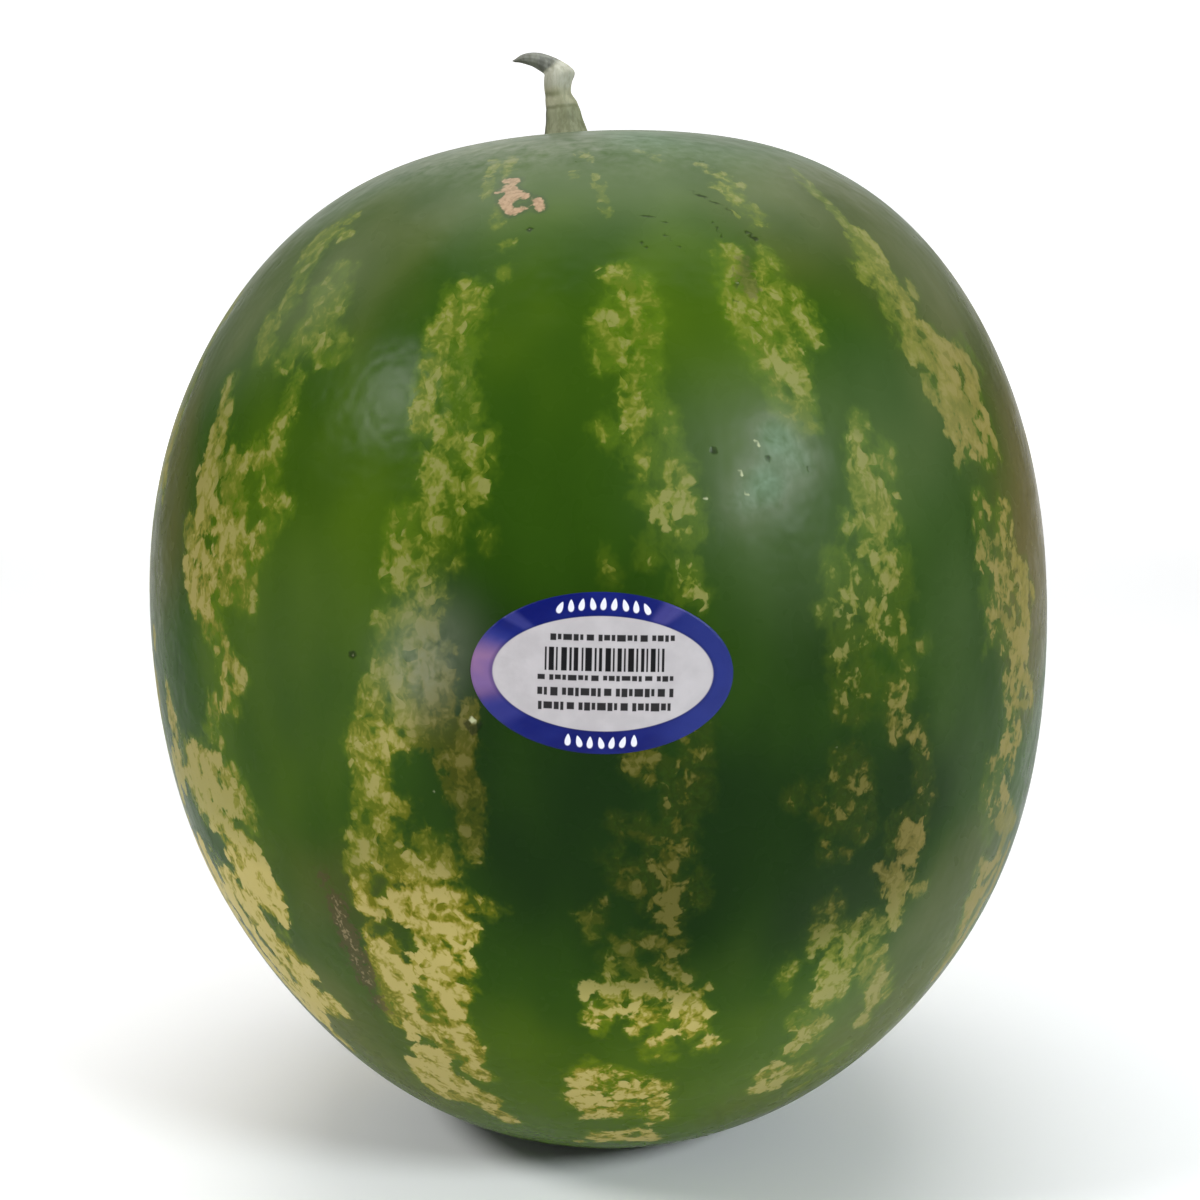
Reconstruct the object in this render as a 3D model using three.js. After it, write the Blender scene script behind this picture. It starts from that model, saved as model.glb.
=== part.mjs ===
// A whole watermelon standing on its blossom end, with a cut stem stub and an
// oval fruit sticker. Millimetres, +Z up. The origin is the middle of the small
// flat spot the fruit rests on. -Y is the sticker side, +X is to the right of it.
import * as THREE from 'three';

// ---- driving dimensions (mm) ----
// The rind is a surface r(phi, theta) about the fruit's centre, phi measured
// from the stem end and theta round the stem axis from +X:
//   r = sum A[k] cos(k phi)  +  cos(theta) sin(phi) sum B[k] cos(k phi)
// The first series is the round profile, the second leans it slightly to a side.
const PROFILE = [135.110, -0.352, 8.998, -2.143, -1.340, -1.074, -0.399, -0.209, -0.356];
const LEAN = [0.894, 0.206, 1.937, 1.342, 0.115, 0.250];
const CENTRE = [0.99, 0.29, 142.20];     // fruit centre over the resting spot
const FLAT_Z = -142.20;                  // plane of the resting spot, from the centre
const SPOT_X = 1.15;                     // middle of the spot, from the centre
const SPOT_R = 27.0;                     // its four corners lie on this radius
const SPOT_LIFT = 0.35;                  // how far its rounded sides rise between them
const DIMPLE_X = -9.8;                   // stem axis, from the centre
const DIMPLE_DEPTH = 4.0;                // hollow round the stem
const DIMPLE_SIGMA = 10.0;               // its radius at 1/e of the depth
const GAP = 0.30;                        // between pieces that touch

const SEGMENTS = 60;                     // round the fruit
const STEM_SIDES = 16;
const STEM_RIDGES = 5;                   // lengthwise ribs of the stem
const STEM_RIDGE_DEPTH = 0.045;          // of its radius

const LABEL_A = 28.85;                   // half width along the rind
const LABEL_B = 17.75;                   // half height along the rind
const LABEL_X = -0.15;                   // its middle, from the centre
const LABEL_Z = 12.85;
const LABEL_TILT = THREE.MathUtils.degToRad(-1.2);
const LABEL_THICK = 0.25;
const LABEL_SEGMENTS = 44;
const LABEL_RINGS = [0.3, 0.6, 0.85, 1.0];

// The stem, seen from -Y: for each section the x, z of its two outline points in
// the part's own frame, and how deep it is along Y as a share of its width. It
// rises from the hollow, narrows, and curls over into a dried point.
const STEM_SECTIONS = [
  [-15.70, 277.6, -1.30, 278.2, 1.00],
  [-15.40, 279.3, -2.45, 279.9, 1.00],
  [-14.83, 284.46, -4.45, 284.98, 0.98],
  [-14.81, 287.88, -5.67, 288.67, 0.98],
  [-14.94, 290.51, -7.03, 290.77, 1.00],
  [-15.06, 292.08, -7.57, 292.08, 1.02],
  [-15.19, 293.92, -7.29, 294.44, 1.00],
  [-15.12, 295.49, -6.55, 297.06, 0.94],
  [-15.04, 296.28, -8.23, 298.76, 1.00],
  [-15.44, 296.80, -10.67, 300.19, 1.10],
  [-16.66, 297.58, -13.11, 301.24, 1.10],
  [-18.29, 298.50, -15.82, 302.02, 1.05],
  [-19.92, 299.02, -18.53, 302.15, 1.00],
  [-21.54, 299.46, -20.98, 301.63, 1.00],
  [-23.02, 299.60, -22.86, 300.46, 1.00],
];

// ---- the rind's surface ----
const series = (c, phi) => c.reduce((s, a, k) => s + a * Math.cos(k * phi), 0);

function radius(phi, theta) {
  return series(PROFILE, phi) + Math.cos(theta) * Math.sin(phi) * series(LEAN, phi);
}

// Point of the finished skin, with the hollow round the stem, from the centre.
function skin(phi, theta) {
  const r = radius(phi, theta), s = Math.sin(phi);
  const x = r * s * Math.cos(theta), y = r * s * Math.sin(theta);
  let z = r * Math.cos(phi);
  if (z > 0) {
    const d2 = (x - DIMPLE_X) ** 2 + y * y;
    z -= DIMPLE_DEPTH * Math.exp(-d2 / DIMPLE_SIGMA ** 2);
  }
  return new THREE.Vector3(x, y, Math.max(z, FLAT_Z));
}

// Outward unit normal by central differences.
function skinNormal(phi, theta) {
  const e = 1e-3;
  const a = skin(phi + e, theta).sub(skin(phi - e, theta));
  const b = skin(phi, theta + e).sub(skin(phi, theta - e));
  return a.cross(b).normalize();
}

// Height of the skin above the centre at x, y near the stem.
function topHeight(x, y) {
  const theta = Math.atan2(y, x), rho = Math.hypot(x, y);
  let phi = Math.atan2(rho, 136);
  for (let i = 0; i < 20; i++) phi = Math.asin(Math.min(rho / radius(phi, theta), 1));
  return skin(phi, theta).z;
}

// ---- helpers ----
// Closed skin over rings of equal length, with a single point at each end.
function closedLoft(rings, first, last) {
  const n = rings[0].length, verts = [], idx = [];
  verts.push(first.x, first.y, first.z);
  for (const ring of rings) for (const p of ring) verts.push(p.x, p.y, p.z);
  verts.push(last.x, last.y, last.z);
  const end = 1 + n * rings.length;
  for (let j = 0; j < n; j++) idx.push(0, 1 + (j + 1) % n, 1 + j);
  for (let i = 0; i + 1 < rings.length; i++) {
    for (let j = 0; j < n; j++) {
      const a = 1 + i * n + j, b = 1 + i * n + (j + 1) % n, c = a + n, d = b + n;
      idx.push(a, b, d, a, d, c);
    }
  }
  const o = 1 + (rings.length - 1) * n;
  for (let j = 0; j < n; j++) idx.push(end, o + j, o + (j + 1) % n);
  const g = new THREE.BufferGeometry();
  g.setAttribute('position', new THREE.Float32BufferAttribute(verts, 3));
  g.setIndex(idx);
  return g;
}

function named(name, geometry, colour, roughness) {
  geometry.computeVertexNormals();
  const mesh = new THREE.Mesh(geometry,
    new THREE.MeshStandardMaterial({ color: colour, roughness, metalness: 0 }));
  mesh.name = name;
  return mesh;
}

const fruit = new THREE.Group();
fruit.position.set(...CENTRE);

// ---- melon_body: the whole fruit, one solid ----
{
  const deg = [];
  for (let a = 1.2; a < 12.5; a += 1.2) deg.push(a);
  for (let a = 18; a < 90; a += 6) deg.push(a);
  deg.push(90);
  for (let a = 96; a <= 156; a += 6) deg.push(a);
  deg.push(161, 164.5, 166.8);
  const rings = deg.map((a) => {
    const phi = THREE.MathUtils.degToRad(a), ring = [];
    for (let j = 0; j < SEGMENTS; j++) ring.push(skin(phi, -2 * Math.PI * j / SEGMENTS));
    return ring;
  });
  // The resting spot: a flat square with its corners on one circle, and low rounded
  // sides between them, so the fruit stands on four definite points and doesn't rock.
  const rim = [], flat = [];
  for (let j = 0; j < SEGMENTS; j++) {
    const t = -2 * Math.PI * j / SEGMENTS, quarter = SEGMENTS / 4;
    const steps = ((j + quarter / 2 + 0.5) % quarter + quarter) % quarter;  // from a corner
    const off = 2 * Math.PI * steps / SEGMENTS, corner = steps < 1e-6;
    const z = FLAT_Z + (corner ? 0 : SPOT_LIFT * (0.5 + 0.5 * Math.sin(2 * off) ** 2));
    rim.push(new THREE.Vector3(SPOT_X + SPOT_R * Math.cos(t), SPOT_R * Math.sin(t), z));
    const side = 0.93 * SPOT_R * Math.SQRT1_2 / Math.cos(off - Math.PI / 4);
    flat.push(new THREE.Vector3(SPOT_X + side * Math.cos(t), side * Math.sin(t), FLAT_Z));
  }
  rings.push(rim, flat);
  const foot = new THREE.Vector3(SPOT_X, 0, FLAT_Z);
  fruit.add(named('melon_body', closedLoft(rings, skin(0, 0), foot), 0x3c5a20, 0.45));
}

// ---- label: thin oval sticker that follows the rind ----
{
  const rho = skin(Math.PI / 2, -Math.PI / 2).length();
  const at = (u, v, lift) => {
    const c = Math.cos(LABEL_TILT), s = Math.sin(LABEL_TILT);
    const across = u * c - v * s, up = u * s + v * c;
    const theta = -Math.PI / 2 + (LABEL_X + across) / rho, z = LABEL_Z + up;
    let phi = Math.PI / 2;
    for (let i = 0; i < 30; i++) phi = Math.acos(z / radius(phi, theta));
    return skin(phi, theta).addScaledVector(skinNormal(phi, theta), lift);
  };
  const ringAt = (f, lift) => {
    const ring = [];
    for (let j = 0; j < LABEL_SEGMENTS; j++) {
      const t = 2 * Math.PI * j / LABEL_SEGMENTS;
      ring.push(at(f * LABEL_A * Math.cos(t), f * LABEL_B * Math.sin(t), lift));
    }
    return ring;
  };
  const inner = GAP, outer = GAP + LABEL_THICK;
  const rings = [
    ...LABEL_RINGS.map((f) => ringAt(f, inner)),
    ...[...LABEL_RINGS].reverse().map((f) => ringAt(f, outer)),
  ];
  fruit.add(named('label', closedLoft(rings, at(0, 0, inner), at(0, 0, outer)), 0x2e3f8a, 0.5));
}

// ---- stem: ribbed stub, placed in the part's own frame ----
const stem = (() => {
  const lows = new THREE.CatmullRomCurve3(
    STEM_SECTIONS.map(([ax, az]) => new THREE.Vector3(ax, 0, az)), false, 'centripetal');
  const highs = new THREE.CatmullRomCurve3(
    STEM_SECTIONS.map(([, , bx, bz]) => new THREE.Vector3(bx, 0, bz)), false, 'centripetal');
  const last = STEM_SECTIONS.length - 1, rings = [];
  const STEPS = 26;
  for (let i = 0; i <= STEPS; i++) {
    const t = i / STEPS, k = Math.min(Math.floor(t * last), last - 1), f = t * last - k;
    const a = lows.getPoint(t), b = highs.getPoint(t);
    const depth = STEM_SECTIONS[k][4] * (1 - f) + STEM_SECTIONS[k + 1][4] * f;
    const mid = a.clone().add(b).multiplyScalar(0.5), half = b.clone().sub(a).multiplyScalar(0.5);
    const side = half.length() * depth, ring = [];
    for (let j = 0; j < STEM_SIDES; j++) {
      const w = 2 * Math.PI * j / STEM_SIDES;
      const rib = 1 + STEM_RIDGE_DEPTH * (Math.cos(STEM_RIDGES * w) - 1) * (1 - t * 0.5);
      const p = mid.clone().addScaledVector(half, Math.cos(w) * rib);
      p.y = CENTRE[1] + side * Math.sin(w) * rib;
      // the foot follows the floor of the hollow
      const floor = CENTRE[2] + GAP + topHeight(p.x - CENTRE[0], p.y - CENTRE[1]);
      if (i === 0) p.z = floor;
      ring.push(p);
    }
    rings.push(ring);
  }
  const a = STEM_SECTIONS[0], z = STEM_SECTIONS[last];
  const foot = new THREE.Vector3((a[0] + a[2]) / 2, CENTRE[1], 0);
  foot.z = CENTRE[2] + GAP + topHeight(foot.x - CENTRE[0], 0);
  const tip = new THREE.Vector3((z[0] + z[2]) / 2 - 0.45, CENTRE[1], (z[1] + z[3]) / 2 - 0.05);
  const g = closedLoft(rings, foot, tip);
  return named('stem', g, 0x8f8e70, 0.8);
})();

const watermelon = new THREE.Group();
watermelon.add(fruit, stem);

export default watermelon;
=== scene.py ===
import math
import bpy
import numpy as np
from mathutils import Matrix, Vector


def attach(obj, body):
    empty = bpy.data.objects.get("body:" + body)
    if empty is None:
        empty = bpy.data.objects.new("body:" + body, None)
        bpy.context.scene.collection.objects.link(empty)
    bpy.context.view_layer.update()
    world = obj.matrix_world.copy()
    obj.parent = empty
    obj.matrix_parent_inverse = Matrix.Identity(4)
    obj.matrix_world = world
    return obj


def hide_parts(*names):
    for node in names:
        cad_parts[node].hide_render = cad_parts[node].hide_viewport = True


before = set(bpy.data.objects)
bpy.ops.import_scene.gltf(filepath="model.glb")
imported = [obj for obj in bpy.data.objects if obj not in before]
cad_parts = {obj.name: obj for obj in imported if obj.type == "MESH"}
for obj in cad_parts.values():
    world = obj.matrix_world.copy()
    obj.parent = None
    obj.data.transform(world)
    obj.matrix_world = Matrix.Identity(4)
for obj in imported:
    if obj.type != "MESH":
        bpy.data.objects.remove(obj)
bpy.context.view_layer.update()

scene = bpy.context.scene
scene.view_settings.view_transform = "Standard"
scene.view_settings.look = "None"
MM = 0.001

# ------------------------------------------------------------------ the rind's surface (mm)
# r(phi, theta) about the fruit's centre, as the construction has it.
PROFILE = [135.110, -0.352, 8.998, -2.143, -1.340, -1.074, -0.399, -0.209, -0.356]
LEAN = [0.894, 0.206, 1.937, 1.342, 0.115, 0.250]
CENTRE = np.array([0.99, 0.29, 142.20])
FLAT_Z, FLAT_BLEND = -142.20, 0.80
DIMPLE_X, DIMPLE_DEPTH, DIMPLE_SIGMA = -9.8, 4.0, 10.0
INSET = 0.10                      # the skin stays just inside the construction's box
TOP_Z, BOTTOM_Z = 138.2, -142.2


def smooth(a, b, x):
    t = np.clip((x - a) / (b - a), 0, 1)
    return t * t * (3 - 2 * t)


def radius(phi, th):
    r0 = sum(a * np.cos(k * phi) for k, a in enumerate(PROFILE))
    r1 = np.sin(phi) * sum(a * np.cos(k * phi) for k, a in enumerate(LEAN))
    return r0 + r1 * np.cos(th)


def axis_x(z):
    """The stem axis leans: its x at height z (from the centre)."""
    t = np.clip((z + 145.8) / 284.0, 0, 1)
    return -2.0 + (-9.8 + 2.0) * t


def skin(phi, th):
    """Points of the finished skin, from the fruit's centre, in mm."""
    phi, th = np.asarray(phi, float), np.asarray(th, float)
    r = radius(phi, th) - INSET
    # faint lengthwise lobes and slow lumps, never outwards
    lam = th + 0.35 * np.sin(phi * 2)
    calm = smooth(0.26, 0.42, np.hypot((th + math.pi / 2) * 0.8, (phi - 1.47) * 1.2))
    r = r - 0.22 * (1 + np.cos(10 * lam + 0.7 * np.sin(3 * th))) * np.sin(phi) ** 2 * 0.5 * calm
    lump = 1 + np.sin(3 * th + 2.3 * phi) * np.cos(2.7 * phi - 2 * th + 0.6) * np.sin(phi)
    r = r - 0.16 * lump * calm
    s = np.sin(phi)
    x, y, z = r * s * np.cos(th), r * s * np.sin(th), r * np.cos(phi)
    d = np.hypot(x - DIMPLE_X, y)
    top = z > 0
    a = np.arctan2(y, x - DIMPLE_X)
    pucker = 0.28 * np.cos(9 * a + 0.8 * np.sin(2 * a)) * np.exp(-((d - 9.5) / 5.0) ** 2)
    z = z - np.where(top, DIMPLE_DEPTH * np.exp(-(d / DIMPLE_SIGMA) ** 2) + np.abs(pucker), 0)
    h = np.maximum(FLAT_BLEND - np.abs(z - FLAT_Z), 0) / FLAT_BLEND
    z = np.maximum(z, FLAT_Z) + h * h * FLAT_BLEND / 4
    # blossom scar: a small corky pit in the resting spot
    db = np.hypot(x + 2.0, y)
    z = z + np.where(~top, 1.3 * np.exp(-(db / 3.2) ** 4) + 0.5 * np.exp(-(db / 6.5) ** 2), 0)
    return np.stack([x, y, z], -1)


def on_skin(lam_deg, z):
    """Point of the skin at a longitude about the leaning stem axis (0 = front, + to the right) and a height."""
    lam, z = np.radians(np.asarray(lam_deg, float)), np.asarray(z, float)
    ax = axis_x(z)
    lo, hi = np.zeros_like(z), np.full_like(z, 170.0)
    for _ in range(40):
        rho = (lo + hi) / 2
        x, y = ax + rho * np.sin(lam), -rho * np.cos(lam)
        r = np.sqrt(x * x + y * y + z * z)
        inside = r < radius(np.arccos(np.clip(z / np.maximum(r, 1e-9), -1, 1)), np.arctan2(y, x))
        lo, hi = np.where(inside, rho, lo), np.where(inside, hi, rho)
    rho = (lo + hi) / 2
    return np.stack([ax + rho * np.sin(lam), -rho * np.cos(lam), z], -1)


# ------------------------------------------------------------------ camera
cam_data = bpy.data.cameras.new("camera")
cam = bpy.data.objects.new("camera", cam_data)
scene.collection.objects.link(cam)
cam_data.sensor_width, cam_data.lens = 36.0, 52.17
cam_data.shift_x, cam_data.shift_y = -0.0025, 0.0271
cam_data.clip_start, cam_data.clip_end = 0.05, 20
ELEV = math.radians(10.0)
cam.location = (Vector(CENTRE) + 500.0 * Vector((0, -math.cos(ELEV), math.sin(ELEV)))) * MM
cam.rotation_euler = (math.radians(90.0) - ELEV, 0, 0)
scene.camera = cam


# ------------------------------------------------------------------ node helper
class Nodes:
    """Small shorthand for building a node tree."""

    def __init__(self, name):
        self.mat = bpy.data.materials.new(name)
        self.mat.use_nodes = True
        self.t = self.mat.node_tree
        self.t.nodes.clear()
        self.out = self.t.nodes.new("ShaderNodeOutputMaterial")
        self.bsdf = self.t.nodes.new("ShaderNodeBsdfPrincipled")
        self.t.links.new(self.bsdf.outputs[0], self.out.inputs[0])

    def put(self, socket, value):
        if isinstance(value, bpy.types.NodeSocket):
            self.t.links.new(value, socket)
        elif value is not None:
            socket.default_value = value

    def math(self, op, a, b=None, c=None, clamp=False):
        n = self.t.nodes.new("ShaderNodeMath")
        n.operation, n.use_clamp = op, clamp
        for i, v in enumerate((a, b, c)):
            self.put(n.inputs[i], v)
        return n.outputs[0]

    def add(self, *v):
        r = v[0]
        for x in v[1:]:
            r = self.math("ADD", r, x)
        return r

    def mul(self, a, b):
        return self.math("MULTIPLY", a, b)

    def sub(self, a, b):
        return self.math("SUBTRACT", a, b)

    def mad(self, a, b, c):
        return self.math("MULTIPLY_ADD", a, b, c)

    def step(self, x, lo, hi):
        """Smooth step of x from lo to hi (lo may be above hi)."""
        n = self.t.nodes.new("ShaderNodeMapRange")
        n.interpolation_type = "SMOOTHSTEP"
        flip = isinstance(lo, (int, float)) and isinstance(hi, (int, float)) and lo > hi
        self.put(n.inputs["Value"], x)
        self.put(n.inputs["From Min"], hi if flip else lo)
        self.put(n.inputs["From Max"], lo if flip else hi)
        n.inputs["To Min"].default_value = 1.0 if flip else 0.0
        n.inputs["To Max"].default_value = 0.0 if flip else 1.0
        return n.outputs[0]

    def attr(self, name, out="Fac"):
        n = self.t.nodes.new("ShaderNodeAttribute")
        n.attribute_name = name
        return n.outputs[out]

    def coords(self):
        return self.t.nodes.new("ShaderNodeTexCoord").outputs["Object"]

    def scaled(self, vec, s, offset=(0, 0, 0)):
        n = self.t.nodes.new("ShaderNodeMapping")
        self.put(n.inputs["Vector"], vec)
        n.inputs["Scale"].default_value = s if not isinstance(s, (int, float)) else (s, s, s)
        n.inputs["Location"].default_value = offset
        return n.outputs[0]

    def noise(self, vec, scale=1.0, detail=2.0, rough=0.5, lac=2.0, distort=0.0, out="Fac"):
        n = self.t.nodes.new("ShaderNodeTexNoise")
        self.put(n.inputs["Vector"], vec)
        n.inputs["Scale"].default_value = scale
        n.inputs["Detail"].default_value = detail
        n.inputs["Roughness"].default_value = rough
        n.inputs["Lacunarity"].default_value = lac
        n.inputs["Distortion"].default_value = distort
        return n.outputs[out]

    def voronoi(self, vec, scale=1.0, feature="F1", out="Color", random=1.0):
        n = self.t.nodes.new("ShaderNodeTexVoronoi")
        n.feature = feature
        self.put(n.inputs["Vector"], vec)
        n.inputs["Scale"].default_value = scale
        n.inputs["Randomness"].default_value = random
        return n.outputs[out]

    def vmath(self, op, a, b=None, s=None):
        n = self.t.nodes.new("ShaderNodeVectorMath")
        n.operation = op
        self.put(n.inputs[0], a)
        if b is not None:
            self.put(n.inputs[1], b)
        if s is not None:
            self.put(n.inputs["Scale"], s)
        return n.outputs[0]

    def warp(self, vec, scale, amount, detail=2.0):
        """Shifts a coordinate by a noise vector of +-amount."""
        c = self.noise(vec, scale, detail, out="Color")
        c = self.vmath("SUBTRACT", c, (0.5, 0.5, 0.5))
        return self.vmath("ADD", vec, self.vmath("SCALE", c, s=amount * 2))

    def sep(self, vec):
        n = self.t.nodes.new("ShaderNodeSeparateXYZ")
        self.put(n.inputs[0], vec)
        return n.outputs

    def mix(self, fac, a, b, mode="MIX"):
        n = self.t.nodes.new("ShaderNodeMix")
        n.data_type, n.blend_type = "RGBA", mode
        self.put(n.inputs["Factor"], fac)
        ca, cb = [s for s in n.inputs if s.type == "RGBA"]
        self.put(ca, a if isinstance(a, bpy.types.NodeSocket) else rgb(a))
        self.put(cb, b if isinstance(b, bpy.types.NodeSocket) else rgb(b))
        return [s for s in n.outputs if s.type == "RGBA"][0]

    def fmix(self, fac, a, b):
        n = self.t.nodes.new("ShaderNodeMix")
        n.data_type = "FLOAT"
        fs = [s for s in n.inputs if s.type == "VALUE"]
        self.put(fs[0], fac); self.put(fs[1], a); self.put(fs[2], b)
        return [s for s in n.outputs if s.type == "VALUE"][0]

    def bump(self, height, strength, distance, normal=None):
        n = self.t.nodes.new("ShaderNodeBump")
        self.put(n.inputs["Height"], height)
        n.inputs["Strength"].default_value = strength
        n.inputs["Distance"].default_value = distance
        if normal is not None:
            self.put(n.inputs["Normal"], normal)
        return n.outputs[0]


def rgb(c):
    """A colour given as sRGB 0-255, or already linear as four numbers."""
    if len(c) == 4:
        return c
    lin = [(v / 255 / 12.92) if v / 255 <= 0.04045 else ((v / 255 + 0.055) / 1.055) ** 2.4 for v in c]
    return (*lin, 1.0)


def new_object(name, verts_mm, faces, smooth_shade=True):
    me = bpy.data.meshes.new(name)
    me.from_pydata([], [], [])
    v = np.asarray(verts_mm, float) * MM
    f = np.asarray(faces, np.int64)
    me.vertices.add(len(v))
    me.vertices.foreach_set("co", v.astype(np.float32).ravel())
    me.loops.add(f.size)
    me.loops.foreach_set("vertex_index", f.astype(np.int32).ravel())
    me.polygons.add(len(f))
    me.polygons.foreach_set("loop_start", (np.arange(len(f)) * f.shape[1]).astype(np.int32))
    me.polygons.foreach_set("use_smooth", np.full(len(f), smooth_shade))
    me.update(calc_edges=True)
    me.validate()
    ob = bpy.data.objects.new(name, me)
    scene.collection.objects.link(ob)
    return ob


def vertex_field(ob, name, values):
    a = ob.data.attributes.new(name, "FLOAT", "POINT")
    a.data.foreach_set("value", np.asarray(values, np.float32))


# ------------------------------------------------------------------ stripes
# Patches of the pale stripes. Each is a line on the fruit, from point to
# point: longitude about the stem axis (deg, 0 = front, + right), height above the
# surface it stands on (mm), half width (mm). They were read off enlarged crops and typed in.
LEFT = {
    "cream": [
        (-51.2,216,-51,212,0.9), (-51.2,211,-51,207,0.9), (-35.3,210,-36.6,208,0.9), (-37.1,207,-37.6,205,0.9), (-51.2,205,-51,202,1),
        (-37.5,203,-37.6,200,1.4), (-50.9,200,-50.8,197,1.2), (-38.8,199,-40,198,1.2), (-41.5,199,-42.5,197,1), (-50.8,196,-50.3,192,1.5),
        (-49.8,194,-49.4,188,2), (-51.8,193,-50.7,188,1.5), (-50.5,186,-50.6,181,1.2), (-46.8,187,-46.6,185,1.2), (-49.9,177,-50.4,174,1.2),
        (-47.9,175,-46.1,172,1.5), (-44.1,175,-47.7,171,1.2), (-53.1,172,-52.3,168,1.3), (-50.2,171,-50.8,164,2), (-47.5,164,-46.8,161,1.2),
        (-49.2,163,-49.2,163,1), (-40.6,147,-41,144,0.8), (-43.6,145,-43.7,141,1.1), (-44.6,140,-44.2,138,1), (-63.7,120,-62.6,117,1.1),
        (-53.3,124,-47.7,125,1.8), (-54.1,123,-54.7,111,3.4), (-50.9,121,-48.8,114,3.3), (-56.2,118,-52.1,115,3.1), (-46,117,-46.6,112,1.3),
        (-52.2,111,-48.6,106,2.3), (-52.5,110,-52.9,105,1.3), (-45.3,112,-45.3,112,1.2), (-47.3,106,-45,98,2.3), (-43.2,104,-42.1,99,1.2),
        (-50.5,99,-48.5,98,1.3), (-47.5,93,-44.3,91,3.3), (-41.9,95,-41.4,90,1.3), (-49.1,85,-48,78,2.9), (-42.7,89,-41.9,84,1), (-50.2,76,-47.4,72,2.1),
        (-46.5,68,-44.3,63,2.6), (-43.1,70,-40.6,69,1.3), (-47.8,59,-45.2,57,2.1), (-60.5,120,-61.5,113,2.4), (-64.5,116,-65.5,107,2.6),
        (-61.5,95,-60.5,87,3), (-66.5,94,-65.5,84,2.6), (-56.5,83,-54.5,76,3), (-61.5,82,-60.5,73,3.2), (-66.5,77,-65.5,69,2.6),
        (-53.5,70,-51.5,64,2.8), (-59,68,-57,61,3), (-50.5,58,-47.5,52,2.2), (-55,57,-52,50,2.4)],
    "khaki": [
        (-41.2,184,-40.7,181,1), (-44.7,183,-43.7,178,1.9), (-38.2,182,-38.2,182,0.9), (-42.3,179,-41.9,175,1.3), (-38.3,177,-37.7,179,0.9),
        (-42.8,150,-40.9,149,1.9), (-62,134,-61.2,131,1.3), (-62,130,-59.6,126,1.3), (-54.6,88,-52.1,85,1.6), (-44.7,75,-44.5,72,1), (-41.4,61,-38.8,58,1.3),
        (-47.7,53,-49.9,46,1.1), (-49.6,44,-47.7,40,1.1)],
    "faint": [
        (-49,252,-49.5,247,1.3), (-44.6,223,-47,226,1.2)],
    "lime": [
        (-48.6,244,-44.6,239,1.5), (-38.8,237,-33.8,228,2.4), (-39.2,229,-39.2,223,1.7), (-45.4,225,-45.4,225,2), (-43.9,193,-41.2,184,2.9),
        (-34.6,190,-36,186,1.9), (-38.7,175,-38.7,175,1.7), (-39.4,170,-41.2,167,2.4), (-45.2,164,-45.9,156,2), (-47.8,134,-48.9,131,2),
        (-42.9,121,-41.5,119,1.5), (-42.5,116,-42.6,109,1.5), (-42.6,80,-42.6,80,1.5)],
    "dark": [
        (-46.9,189,-46.9,189,0.7), (-46.7,183,-46.7,183,1.2), (-50.8,173,-50.8,173,1), (-48.2,112,-47.6,111,0.8), (-56.7,101,-56,94,1.8)],
    "wash": [
        (-46.9,252,-40.6,251,1.8), (-48.7,246,-47.8,249,1.3), (-37.2,234,-35.9,232,1), (-34,227,-32.8,225,1.4), (-38.7,228,-38.3,226,1.2),
        (-36.2,212,-36.5,209,1.4), (-37.7,206,-37,205,1.7), (-36.8,201,-39.1,198,1.7), (-41.2,199,-42.3,197,1.4), (-49.7,211,-48.2,202,1.5),
        (-49.3,200,-49.8,194,2), (-45.4,199,-45.2,199,1.2), (-49.1,190,-48.7,183,2), (-46.4,184,-42,182,2.7), (-42.2,177,-42.1,176,1.9),
        (-37.6,190,-33.8,189,1.2), (-50.6,177,-47.9,175,1.7), (-51.6,171,-50.8,165,2), (-47.6,169,-47.5,167,2), (-38.7,180,-37.5,178,1.4),
        (-40.6,175,-42.3,170,1), (-48.7,163,-46.3,161,1.5), (-43.4,151,-41.5,149,1.7), (-40.6,148,-41.7,144,1.4), (-43.3,144,-43.9,141,1.5),
        (-61.2,138,-59.3,129,1.3), (-61,123,-60.8,116,2.1), (-53.3,124,-49.3,123,3.3), (-56.9,116,-54.7,111,3.6), (-46.1,121,-44.6,116,2.7),
        (-51.1,108,-47.5,107,2.3), (-45.5,105,-43.7,103,2.8), (-48.5,98,-44.7,95,3.3), (-52.8,90,-51,84,3.4), (-43.5,95,-41.1,93,1.8),
        (-49,83,-48,79,2.9), (-47.2,75,-44,74,2.3), (-52.7,65,-41.9,70,2.4), (-52.1,59,-43.1,60,2.4), (-39.8,62,-39.1,59,1.3), (-56,94,-55,89,1.9),
    ],
    "veil": [
        (-44.6,255,-46.1,248,3.3), (-45.8,245,-44.5,235,2.7), (-36.2,242,-37.2,237,3.2), (-34.1,235,-35.7,228,4.1), (-36.7,228,-31.7,224,4.5),
        (-47.2,230,-44.9,223,2.7), (-37.9,226,-39.5,221,2.6), (-36.3,217,-36.2,212,1.9), (-36.6,210,-37.1,203,2.1), (-51.1,216,-50,202,2),
        (-40.5,201,-37.2,197,2.1), (-49.3,200,-49.4,188,3.7), (-44.8,196,-42.2,184,4.1), (-36.4,194,-35.1,185,2.1), (-52.4,180,-50,164,3.7),
        (-42.8,180,-43.3,170,5.1), (-38.8,176,-39.4,167,3.1), (-36.4,180,-35.7,183,2.1), (-48.7,162,-45.3,157,3.4), (-43.4,151,-42.8,142,3.4),
        (-46.8,140,-47,130,2), (-57.4,121,-54.7,111,5.5), (-44.9,121,-42.8,114,3.7), (-48.9,106,-47,99,4.8), (-47.5,93,-42.7,90,4.8),
        (-49.9,78,-44.9,72,3.9), (-45.6,65,-42,58,3.4),
    ],
}
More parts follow.
